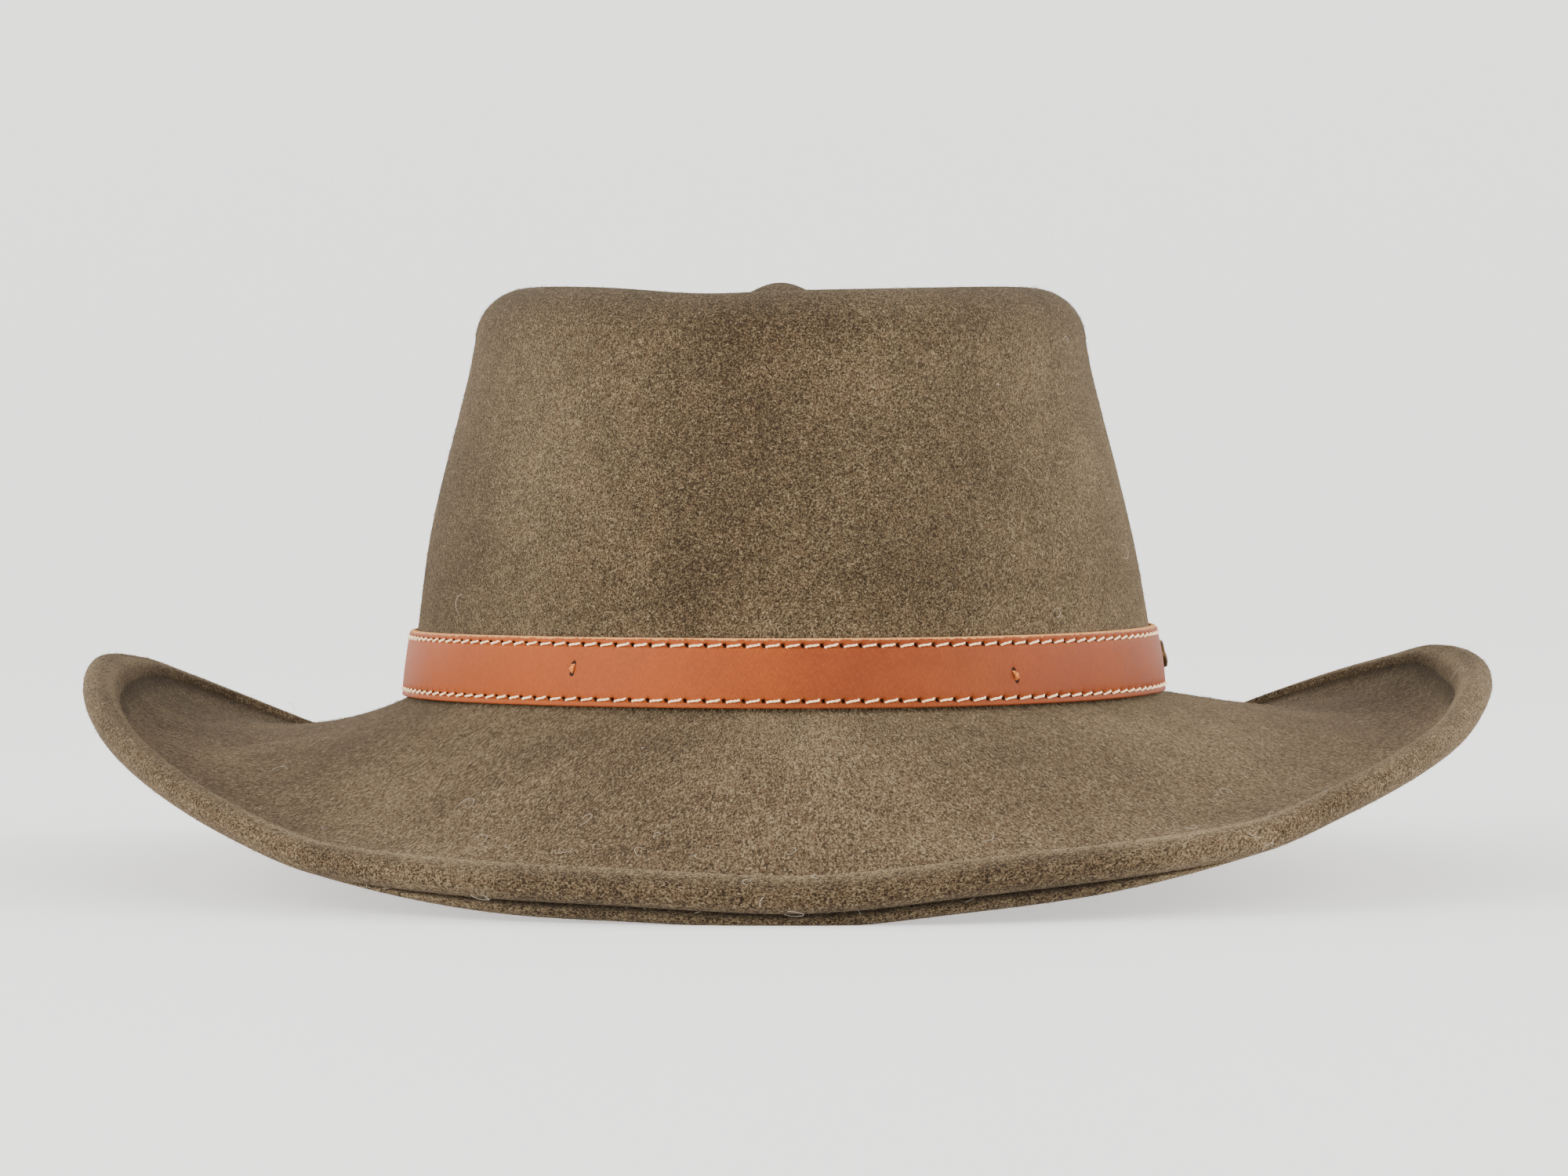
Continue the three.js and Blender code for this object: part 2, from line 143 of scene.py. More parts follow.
class HatSizes(bpy.types.PropertyGroup):
    """Sizes of the felt"""
    felt: length("Felt thickness", "Thickness of the felt", 2.4)
    head_half_width: length("Head half width", "Half width of the head oval", 88)
    head_half_length: length("Head half length", "Half length of the head oval", 105)
    oval_off_centre: length("Oval off centre", "How far the oval stands to the wearer's right", 0.9)
    foot_height: length("Foot height", "Height where the crown meets the brim", 40.5)
    foot_lean: length("Foot lean", "How much the foot rises to the wearer's left", 0.6)
    break_radius: length("Break radius", "Radius between the crown and the brim", 1.5)
    shoulder_height: length("Shoulder height", "Top of the crown's rim", 136.15)
    shoulder_radius: length("Shoulder radius", "Rounding of the crown's rim", 12.5)
    shoulder_inset: length("Shoulder inset", "How far in from the head oval the rim is", 28.5)
    shoulder_drop: length("Shoulder drop", "How much lower the rim is at the front and back", 2.6)
    dip_depth: length("Dip depth", "Depth of the rim's soft dip, at the front right", 1.0)
    dip_turn: degrees("Dip turn", "Where round the rim the dip is", 251)
    dip_spread: degrees("Dip spread", "How far round the rim the dip runs", 17)
    crown_shift: length("Crown shift", "How far the crown leans to the wearer's left", -0.8)
    valley_height: length("Valley height", "Lowest line of the crown's top", 121)
    dome_height: length("Dome height", "Height of the centre dome", 135.5)
    tip_height: length("Tip height", "Height of the point on the dome", 2.4)
    tip_radius: length("Tip radius", "Size of the point on the dome", 9)
    brim_length: length("Brim length", "Width of the brim, along its surface", 73.5)
    brim_length_at_tips: length("Brim length at tips", "Width of the brim at the sides", 71)
    right_curl_to_back: length("Right curl to back", "How much higher the right curl is behind", 9.2)
    left_curl_to_back: length("Left curl to back", "How much higher the left curl is behind", 11.5)
    roll_half_width: length("Roll half width", "Half width of the turned edge", 4.5)
    roll_half_height: length("Roll half height", "Half height of the turned edge", 3.5)
    roll_swell: factor("Roll swell", "How much wider the turned edge is at the tips", 0.2)
    roll_thinning: factor("Roll thinning", "How much narrower the turned edge is behind the tips", 0.4)
    roll_ridge: length("Roll ridge", "Height of the fold along the turned edge's crest", 0.35)
    brim_start_right: degrees("Brim start right", "Slope leaving the crown at the right", -27)
    brim_start_left: degrees("Brim start left", "Slope leaving the crown at the left", -6)
    brim_start_ends: degrees("Brim start ends", "Slope leaving the crown at the front", -20)


class BandSizes(bpy.types.PropertyGroup):
    """Sizes of the leather band, its stitches and its stud"""
    height: length("Height", "Height of the band", 15.2)
    thickness: length("Thickness", "Thickness of the leather", 1.6)
    above_foot: length("Above foot", "Height of the band over the crown's foot", 1.0)
    gap: length("Gap", "Room between the band and the felt", 0.3)
    seam: degrees("Seam", "Angle between the band's ends at the back", 0.3)
    row_inset: length("Row inset", "Distance of a stitch row from the band's edge", 1.6)
    stitch_pitch: length("Stitch pitch", "Distance from stitch to stitch", 4.32)
    stitch_length: length("Stitch length", "Length of a stitch on show", 2.95)
    thread: length("Thread", "Thickness of the sewing thread", 0.45)
    raw_edge: length("Raw edge", "Height of the pale cut edge at the band's top", 0.4)
    stud_width: length("Stud width", "Width of the stud", 8)
    stud_height: length("Stud height", "Height of the stud", 6.6)
    stud_above: length("Stud above", "Height of the stud's middle on the band", 8.1)


class FibreSizes(bpy.types.PropertyGroup):
    """Sizes of the loose fibres that stand off the felt"""
    shortest: length("Shortest", "Length of the shortest fibres", 0.7)
    longest: length("Longest", "Length of the longest fibres", 1.8)
    thickness: length("Thickness", "Thickness of a fibre at its root", 0.1)
    count: IntProperty(name="Count", description="Fibres in each of the three lots", default=16000)
    strays: IntProperty(name="Strays", description="Long curly fibres", default=80)


class HatColours(bpy.types.PropertyGroup):
    """Colours of the hat"""
    felt: colour("Felt", "Main colour of the felt", 95, 78, 58)
    felt_warm: colour("Warm felt", "Redder patches of the felt", 102, 77, 55)
    felt_olive: colour("Olive felt", "Greener patches of the felt", 91, 79, 57)
    felt_dark: colour("Felt shade", "Gaps between the fibres", 44, 35, 25)
    felt_light: colour("Felt fibres", "Lighter fibres", 166, 146, 114)
    stray: colour("Stray hairs", "Long curly hairs caught on the felt", 206, 196, 176)
    leather: colour("Leather", "Face of the band", 170, 84, 38)
    leather_dark: colour("Leather shade", "Darker parts of the band's face", 132, 63, 32)
    leather_edge: colour("Leather edge", "Raw cut edge", 232, 166, 104)
    thread: colour("Thread", "Sewing thread", 255, 224, 180)
    tack: colour("Tack thread", "Thread of the small tacks", 232, 138, 70)
    metal: colour("Stud", "Darkened brass of the stud", 80, 58, 36)
    floor: colour("Floor", "Studio floor", 248, 248, 246)


def in_millimetres(sizes):
    """A group's sizes by name, with its lengths in millimetres."""
    kinds = sizes.bl_rna.properties
    return {name: getattr(sizes, name) / MM if kinds[name].unit == "LENGTH" else getattr(sizes, name)
            for name in sizes.__annotations__}


def smooth(value, low, high):
    """Eases from 0 at low to 1 at high."""
    share = np.clip((value - low) / (high - low), 0, 1)
    return share * share * (3 - 2 * share)


def blend(start, end, share):
    """The value at a share of the way from start to end."""
    return start + (end - start) * share


def even_curve(column):
    """A curve through a column of the brim edge's table, even about the side and the front."""
    turns = [row["turn"] for row in BRIM_EDGE]
    values = [row[column] for row in BRIM_EDGE]
    xs = np.array([-t for t in turns[:0:-1]] + turns + [180 - t for t in turns[-2::-1]], float)
    ys = np.array(values[:0:-1] + values + values[-2::-1], float)
    before = np.maximum(np.arange(len(xs)) - 1, 0)
    after = np.minimum(np.arange(len(xs)) + 1, len(xs) - 1)
    slopes = (ys[after] - ys[before]) / (xs[after] - xs[before])

    def curve(turn):
        i = np.clip(np.searchsorted(xs, turn) - 1, 0, len(xs) - 2)
        span = xs[i + 1] - xs[i]
        t = (turn - xs[i]) / span
        return (ys[i] * (2 * t ** 3 - 3 * t ** 2 + 1) + slopes[i] * span * (t ** 3 - 2 * t ** 2 + t)
                + ys[i + 1] * (3 * t ** 2 - 2 * t ** 3) + slopes[i + 1] * span * (t ** 3 - t ** 2))
    return curve


def wall_curve(first):
    """Points of the crown wall's curve, from its top: (out from the oval, height above the foot)."""
    knots = np.array([first] + [(-row["inset"], row["height"]) for row in CROWN_WALL])
    points = []
    for i in range(len(knots) - 1):
        near, start, end, far = (knots[max(0, min(len(knots) - 1, i + k))] for k in (-1, 0, 1, 2))
        for t in np.linspace(0, 1, 24, endpoint=False):
            leave = (end - near) / 2
            arrive = (far - start) / 2
            points.append((2 * start - 2 * end + leave + arrive) * t ** 3
                          + (-3 * start + 3 * end - 2 * leave - arrive) * t ** 2 + leave * t + start)
    points.append(knots[-1])
    return np.array(points)


def evenly(line, count):
    """A line cut into count equal steps, as count + 1 points."""
    steps = np.hypot(*np.diff(line, axis=0).T)
    run = np.concatenate([[0], np.cumsum(steps)])
    at = np.linspace(0, run[-1], count + 1)
    return np.stack([np.interp(at, run, line[:, k]) for k in range(line.shape[1])], axis=1)


def rounded(line, rounds=2):
    """A line with its corners cut, its ends kept."""
    for _ in range(rounds):
        near = blend(line[:-1], line[1:], 0.25)
        far = blend(line[:-1], line[1:], 0.75)
        line = np.vstack([line[:1], np.stack([near, far], axis=1).reshape(-1, 2)[1:-1], line[-1:]])
    return line


class Outline:
    """The hat's outline at each angle, from the sizes. Lines are drawn in upright planes square to
    the head oval, as how far out from it and how high, in millimetres."""
    # Where the fold lies on the turned edge's round, and where the edge's face ends
    crest_turn = math.radians(112)
    face_end = math.radians(-62)
    # The share of the crown's top that the dome takes up, from the middle out
    dome_share = 0.66
    # Points in each stretch of the outline
    counts = {"top": 36, "shoulder": 12, "wall": 30, "bend": 4, "brim": 38, "roll": 30, "lip": 22}

    def __init__(self, sizes):
        for name, value in in_millimetres(sizes).items():
            setattr(self, name, value)
        self.wall_top = self.shoulder_height - self.shoulder_radius
        first = (-self.shoulder_inset + self.shoulder_radius, self.wall_top - self.foot_height)
        self.wall = wall_curve(first)
        self.edge_right = even_curve("right")
        self.edge_left = even_curve("left")
        self.edge_slope = even_curve("slope")

    def foot(self, angle):
        """The height at which the crown meets the brim."""
        return self.foot_height + self.foot_lean * math.cos(angle) ** 3

    def place(self, angle, line):
        """Sets a line's points into space at an angle. Inside the rim the planes gather on the middle."""
        cos, sin = math.cos(angle), math.sin(angle)
        across, along = self.head_half_width, self.head_half_length
        size = math.hypot(cos / across, sin / along)
        out, up = line[:, 0], line[:, 1]
        kept = np.maximum(out, -self.shoulder_inset)
        gather = 1 + (np.minimum(out, -self.shoulder_inset) + self.shoulder_inset) / (
            across - self.shoulder_inset)
        x = (across * cos + cos / across / size * kept) * gather - self.oval_off_centre
        y = (along * sin + sin / along / size * kept) * gather
        return np.stack([x + self.crown_shift * smooth(up, 45, 90), y, up], axis=1)

    def sag(self, angle):
        """How far the crown's top is lowered at an angle."""
        away = (angle - self.dip_turn + math.pi) % (2 * math.pi) - math.pi
        dip = self.dip_depth * math.exp(-((away / self.dip_spread) ** 2))
        return -dip - self.shoulder_drop * math.sin(angle) ** 2

    def settle(self, angle, line):
        """Lowers or lifts a crown line by the sag, fading towards its middle and its foot."""
        inward = smooth(line[:, 0], -self.head_half_width + 5, -self.shoulder_inset)
        upward = smooth(line[:, 1], self.foot(angle), self.shoulder_height)
        line[:, 1] += self.sag(angle) * inward * upward
        return line

    def top(self, count):
        """The crown's top from its tip to the rim, without the rim's own point."""
        share = np.linspace(0, 1, count, endpoint=False)
        span = self.head_half_width - self.shoulder_inset
        dome = self.valley_height + (self.dome_height - self.valley_height) * (
            1 + np.cos(np.pi * np.minimum(share / self.dome_share, 1))) / 2
        flank = (self.shoulder_height - self.valley_height) * smooth(share, self.dome_share, 1)
        tip = self.tip_height * np.exp(-((share * span / self.tip_radius) ** 2))
        return np.stack([-self.head_half_width + share * span, dome + flank + tip], axis=1)

    def wall_line(self, angle, count):
        """The crown's wall from the shoulder down, stretched to the foot's height."""
        foot = self.foot(angle)
        line = evenly(self.wall, count)
        line[:, 1] = foot + line[:, 1] * (self.wall_top - foot) / (self.wall_top - self.foot_height)
        return line

    def crown_line(self, angle, top, shoulder, wall):
        """The crown from its middle to its foot, with so many points in each stretch."""
        turn = np.linspace(np.pi / 2, 0, shoulder, endpoint=False)
        bend = np.stack([-self.shoulder_inset + self.shoulder_radius * np.cos(turn),
                         self.shoulder_height - self.shoulder_radius * (1 - np.sin(turn))], axis=1)
        return self.settle(angle, np.vstack([self.top(top), bend, self.wall_line(angle, wall)]))

    def wall_out(self, angle, height):
        """How far the crown's wall is out from the oval at a height."""
        line = self.settle(angle, self.wall_line(angle, 40))
        return np.interp(height, line[::-1, 1], line[::-1, 0])

    def brim_at(self, angle):
        """How the brim runs at an angle."""
        cos, sin = math.cos(angle), math.sin(angle)
        turn = math.degrees(math.atan2(abs(sin), abs(cos)))
        side = cos * cos
        on_left = smooth(cos, -0.35, 0.35)
        edge = blend(self.edge_right(turn), self.edge_left(turn), on_left)
        to_back = blend(self.right_curl_to_back, self.left_curl_to_back, on_left)
        side_start = blend(self.brim_start_right, self.brim_start_left, on_left)
        ends = smooth(abs(sin), 0.78, 0.97)
        # The turned edge is widest at the tips and slender behind them
        wide = self.roll_half_width * (1 + self.roll_swell * math.exp(-((sin / 0.25) ** 2))
                                       - self.roll_thinning * smooth(sin, 0, 0.5) * (1 - ends))
        spared = 2 * (self.roll_half_width - wide)
        end_slope = math.radians(self.edge_slope(turn))
        return {
            "height": edge + to_back * sin * side + spared * math.sin(end_slope),
            "end_slope": end_slope,
            "start_slope": blend(self.brim_start_ends, side_start, side),
            "rise": blend(-2.0, 1.0, ends),
            "lip": ends,
            "roll": wide,
            "length": blend(self.brim_length, self.brim_length_at_tips, side ** 3) + spared,
        }

    def brim_line(self, angle, brim, bend, count):
        """The brim's top from the break to its end: a small arc, then a curve of the set length."""
        radius = self.break_radius
        heading = np.linspace(-np.pi / 2, brim["start_slope"], bend + 1)[1:]
        arc = np.stack([radius + radius * np.sin(heading),
                        self.foot(angle) + radius - radius * np.cos(heading)], axis=1)
        start = arc[-1]
        leave = np.array([math.cos(brim["start_slope"]), math.sin(brim["start_slope"])])
        arrive = np.array([math.cos(brim["end_slope"]), math.sin(brim["end_slope"])])
        t = np.linspace(0, 1, 121)[:, None]
        near, far = 30.0, 90.0
        for _ in range(24):
            reach = (near + far) / 2
            end = np.array([start[0] + reach, brim["height"]])
            pull = np.hypot(*(end - start)) * 0.3
            curve = (start * (1 - t) ** 3 + (start + leave * pull) * 3 * t * (1 - t) ** 2
                     + (end - arrive * pull) * 3 * t ** 2 * (1 - t) + end * t ** 3)
            if np.hypot(*np.diff(curve, axis=0).T).sum() < brim["length"]:
                near = reach
            else:
                far = reach
        return np.vstack([arc, evenly(curve, count)[1:]])

    def edge_line(self, brim, end, roll, lip):
        """The turned edge: over the roll, then round the lip of the turn to the brim's underside."""
        along = np.array([math.cos(brim["end_slope"]), math.sin(brim["end_slope"])])
        up = np.array([-along[1], along[0]])
        wide, high = brim["roll"], self.roll_half_height

        def at(reach, rise):
            return end + along * reach + up * rise

        def on_roll(turn):
            ridge = self.roll_ridge * math.exp(-(((turn - self.crest_turn) / 0.22) ** 2))
            return at(wide * (1 + math.cos(turn)), brim["rise"] + high * math.sin(turn) + ridge)

        first = math.pi + math.asin(brim["rise"] / high)
        face = np.array([on_roll(turn) for turn in np.linspace(first, self.face_end, roll)])
        lip_top = brim["rise"] - high - 0.5
        bottom = at(7.4, lip_top - self.felt)
        root = at(-5, -self.felt - 1.2)
        shown = np.array([face[-1], at(5.2, brim["rise"] - high + 0.1), at(4.7, lip_top + 0.25),
                          at(7.0, lip_top + 0.1), at(7.9, lip_top - 0.1), at(8.0, lip_top - 1.2),
                          bottom, bottom - np.array([3.5, 0]), root])
        hidden = np.array([face[-1]] + [on_roll(math.radians(turn)) for turn in (-84, -106, -126, -145)]
                          + [at(-1.2, -self.felt)])
        turned = blend(evenly(rounded(hidden), lip), evenly(rounded(shown), lip), brim["lip"])[1:]
        turned[:, 1] = np.maximum(turned[:, 1], 0)
        return np.vstack([face, turned])

    def felt_line(self, angle):
        """The felt's whole outline at an angle, and the number of points in each of its stretches."""
        counts = self.counts
        brim = self.brim_at(angle)
        crown = self.crown_line(angle, counts["top"], counts["shoulder"], counts["wall"])
        top = np.vstack([crown, self.brim_line(angle, brim, counts["bend"], counts["brim"])])
        edge = self.edge_line(brim, top[-1], counts["roll"], counts["lip"])
        before = top[np.maximum(np.arange(len(top)) - 1, 0)]
        after = top[np.minimum(np.arange(len(top)) + 1, len(top) - 1)]
        along = (after - before) / np.hypot(*(after - before).T)[:, None]
        under = top + np.stack([along[:, 1], -along[:, 0]], axis=1) * self.felt
        under[0] = top[0] - np.array([0, self.felt])
        inner = np.vstack([under[len(crown) + 1:-1:2][::-1], under[:len(crown)][::-2]])
        if (inner[-1] != under[0]).any():
            inner = np.vstack([inner, under[:1]])
        return np.vstack([top[:-1], edge, inner]), len(crown), len(top) - 1, len(edge)


def grid_faces(columns, rows, closed_round=True, closed_up=False):
    """Faces over a grid of points, column by column."""
    faces = []
    for i in range(columns if closed_round else columns - 1):
        j = (i + 1) % columns
        for k in range(rows if closed_up else rows - 1):
            n = (k + 1) % rows
            faces.append((i * rows + k, i * rows + n, j * rows + n, j * rows + k))
    return faces


def add_piece(name, points, faces, material, replaces=(), smooth_faces=True):
    """A mesh from points in millimetres, riding on the hat."""
    mesh = bpy.data.meshes.new(name)
    mesh.from_pydata((np.asarray(points) * MM).tolist(), [], faces)
    mesh.validate()
    mesh.polygons.foreach_set("use_smooth", [smooth_faces] * len(mesh.polygons))
    mesh.materials.append(material)
    piece = bpy.data.objects.new(name, mesh)
    bpy.context.scene.collection.objects.link(piece)
    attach(piece, BODY)
    if replaces:
        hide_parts(*replaces)
    return piece


class Band:
    """Where the leather band lies: by run round the hat from the seam at the back, height above the
    band's foot and how far out from its outer face, all in millimetres."""

    # Where the needle hole lies within a stitch's pitch, how wide it is and how it leans with height
    hole_share = 0.97
    hole_width = 0.36
    hole_slant = 0.45
    # How far a tack's two holes are over and under its middle
    tack_reach = 1.1
    # The pressed grain's pitch along the band, and up it
    grain_pitch = (0.62, 0.66)

    def __init__(self, outline, sizes):
        for name, value in in_millimetres(sizes).items():
            setattr(self, name, value)
        self.outline = outline
        self.angles = np.linspace(math.pi / 2 + self.seam / 2, math.pi * 5 / 2 - self.seam / 2, 721)
        self.middle = np.array([self.at_angle(angle, np.array([[self.height / 2, 0]]))[0]
                                for angle in self.angles])
        steps = np.linalg.norm(np.diff(self.middle, axis=0), axis=1)
        self.runs = np.concatenate([[0], np.cumsum(steps)])
        self.length = self.runs[-1]
        self.stitches = round(self.length / self.stitch_pitch)
        self.pitch = self.length / self.stitches
        self.rows = (self.row_inset, self.height - self.row_inset)
        self.holes = (np.arange(self.stitches) + self.hole_share) * self.pitch
        self.tack_holes = [(self.run_at_front(tack["x"]) + side * tack["lean"],
                            tack["height"] + side * self.tack_reach)
                           for tack in TACKS for side in (-1, 1)]

    def at_angle(self, angle, places):
        """Points at an angle, for an array of (height, out)."""
        up = self.outline.foot(angle) + self.above_foot + places[:, 0]
        out = self.outline.wall_out(angle, up) + self.gap + self.thickness + places[:, 1]
        return self.outline.place(angle, np.stack([out, up], axis=1))

    def at(self, run, places):
        """Points at a run, for an array of (height, out)."""
        return self.at_angle(np.interp(run, self.runs, self.angles), places)

    def run_at_front(self, x):
        """The run at which the band's front passes a distance to the wearer's left."""
        front = self.middle[:, 1] < 0
        return np.interp(x, self.middle[front, 0], self.runs[front])

    def frame_at(self, run, height):
        """A point on the outer face and the directions along, up and out from it there."""
        here, above, outer = self.at(run, np.array([[height, 0], [height + 0.5, 0], [height, 0.5]]))
        ahead = self.at(run + 0.5, np.array([[height, 0]]))[0]
        along = (ahead - here) / np.linalg.norm(ahead - here)
        up = above - here - along * np.dot(above - here, along)
        up /= np.linalg.norm(up)
        out = np.cross(along, up)
        return here, along, up, out if np.dot(out, outer - here) > 0 else -out


def thread_line(frame, path, radius, sides, turns, squash=1.0):
    """A twisted two-ply thread along a path of (along, up, out), as points, faces and ply depth."""
    here, along, up, out = frame
    path = np.array(path)
    centre = here + path[:, :1] * along + path[:, 1:2] * up + path[:, 2:] * out
    tangent = np.gradient(centre, axis=0)
    tangent /= np.linalg.norm(tangent, axis=1)[:, None]
    points, depth = [], []
    for i, (middle, ahead) in enumerate(zip(centre, tangent)):
        across = np.cross(out, ahead)
        across /= np.linalg.norm(across)
        lift = np.cross(ahead, across)
        taper = 0.8 if i in (0, len(path) - 1) else 1.0
        for k in range(sides):
            turn = 2 * math.pi * k / sides
            ply = math.cos(2 * (turn - 2 * math.pi * turns * i / (len(path) - 1)))
            size = radius * (1 + 0.17 * ply) * taper
            points.append(middle + across * size * math.cos(turn) + lift * size * squash * math.sin(turn))
            depth.append(ply)
    faces = []
    for i in range(len(path) - 1):
        for k in range(sides):
            n = (k + 1) % sides
            a = i * sides
            faces.append((a + k, a + n, a + sides + n, a + sides + k))
    faces.append(tuple(range(sides))[::-1])
    faces.append(tuple((len(path) - 1) * sides + k for k in range(sides)))
    return points, faces, depth


class Pile:
    """Gathers the points, faces and values of many small bodies into one piece."""

    def __init__(self):
        self.points, self.faces, self.values = [], [], []

    def add(self, points, faces, values):
        """Adds one body, with a value for each of its points."""
        start = len(self.points)
        self.points.extend(points)
        self.faces.extend(tuple(start + corner for corner in face) for face in faces)
        self.values.extend(values)

    def piece(self, name, material, slot, value_name):
        """Makes the piece."""
        set_values(add_piece(name, self.points, self.faces, material), value_name, self.values)


def set_values(piece, name, values):
    """Keeps a number, or three, at each point of a piece, for its material."""
    values = np.asarray(values, float)
    kind, field = ("FLOAT_VECTOR", "vector") if values.ndim == 2 else ("FLOAT", "value")
    piece.data.attributes.new(name, kind, "POINT").data.foreach_set(field, values.reshape(-1))


class Wire:
    """A node's output that can stand in a sum, so that shader maths reads as maths."""

    def __init__(self, finish, socket):
        self.finish = finish
        self.socket = socket

    def maths(self, operation, *values, **settings):
        """Adds a Math node."""
        return self.finish.node("ShaderNodeMath", {"operation": operation, **settings},
                                {i: value for i, value in enumerate(values)})

    def __add__(self, other):
        return self.maths("ADD", self, other)

    __radd__ = __add__

    def __mul__(self, other):
        return self.maths("MULTIPLY", self, other)

    __rmul__ = __mul__

    def __sub__(self, other):
        return self.maths("SUBTRACT", self, other)

    def __rsub__(self, other):
        return self.maths("SUBTRACT", other, self)

    def __truediv__(self, other):
        return self.maths("DIVIDE", self, other)

    def __abs__(self):
        return self.maths("ABSOLUTE", self)

    def limited(self):
        """Kept between 0 and 1."""
        return self.maths("ADD", self, 0, use_clamp=True)

    def fraction(self):
        return self.maths("FRACT", self)

    def sine(self):
        return self.maths("SINE", self)

    def most(self, other):
        return self.maths("MAXIMUM", self, other)

    def eased(self, low, high):
        """0 below low, 1 above high, eased between. low may be the higher."""
        return self.finish.node(
            "ShaderNodeMapRange", {"interpolation_type": "SMOOTHSTEP"},
            {"Value": self, "From Min": low, "From Max": high, "To Min": 0, "To Max": 1})


class Finish:
    """A procedural material whose shader is built up in the lines that use this."""

    def __init__(self, name, **uniform):
        self.material = bpy.data.materials.new(name)
        self.material.use_nodes = True
        self.tree = self.material.node_tree
        self.shader = self.tree.nodes["Principled BSDF"]
        for socket, value in uniform.items():
            self.shader.inputs[socket.replace("_", " ")].default_value = value

    def node(self, kind, settings=None, values=None, output=0):
        """Adds a node with its settings and the values or links of its sockets."""
        made = self.tree.nodes.new(kind)
        for name, value in (settings or {}).items():
            setattr(made, name, value)
        for name, value in (values or {}).items():
            if isinstance(value, Wire):
                self.tree.links.new(value.socket, made.inputs[name])
            else:
                made.inputs[name].default_value = value
        return Wire(self, made.outputs[output])

    def place(self, scale=(1, 1, 1), turn=(0, 0, 0)):
        """Points of the object, in metres, turned and then stretched."""
        where = self.node("ShaderNodeTexCoord", output="Object")
        where = self.node("ShaderNodeMapping", {}, {"Vector": where, "Rotation": turn})
        return self.node("ShaderNodeMapping", {}, {"Vector": where, "Scale": scale})

    def noise(self, where, scale, detail, roughness, distortion=0.0):
        """A soft random pattern, 0 to 1, about 0.5 on average."""
        return self.node("ShaderNodeTexNoise", {}, {
            "Vector": where, "Scale": scale, "Detail": detail, "Roughness": roughness,
            "Distortion": distortion})

    def threads(self, where, scale, width, distortion):
        """Thin winding lines, where a noise passes through its middle."""
        away = abs(self.noise(where, scale, 1, 0.4, distortion) - 0.5)
        return away.eased(width, 0)

    def mix(self, start, end, share):
        """A colour between two colours."""
        def four(value):
            return value if isinstance(value, Wire) else (*value, 1)
        return self.node("ShaderNodeMix", {"data_type": "RGBA"}, {0: share, 6: four(start), 7: four(end)},
                         output=2)

    def attribute(self, name, output="Fac"):
        """A value that the mesh keeps at its points."""
        return self.node("ShaderNodeAttribute", {"attribute_name": name}, output=output)

    def feed(self, **sockets):
        """Links wires to the shader's sockets."""
        for name, wire in sockets.items():
            self.tree.links.new(wire.socket, self.shader.inputs[name.replace("_", " ")])

    def bump(self, height, distance, strength):
        """Roughens the surface by a height, for relief finer than the mesh."""
        normal = self.node("ShaderNodeBump", {}, {
            "Strength": strength, "Distance": distance, "Height": height})
        self.feed(Normal=normal)


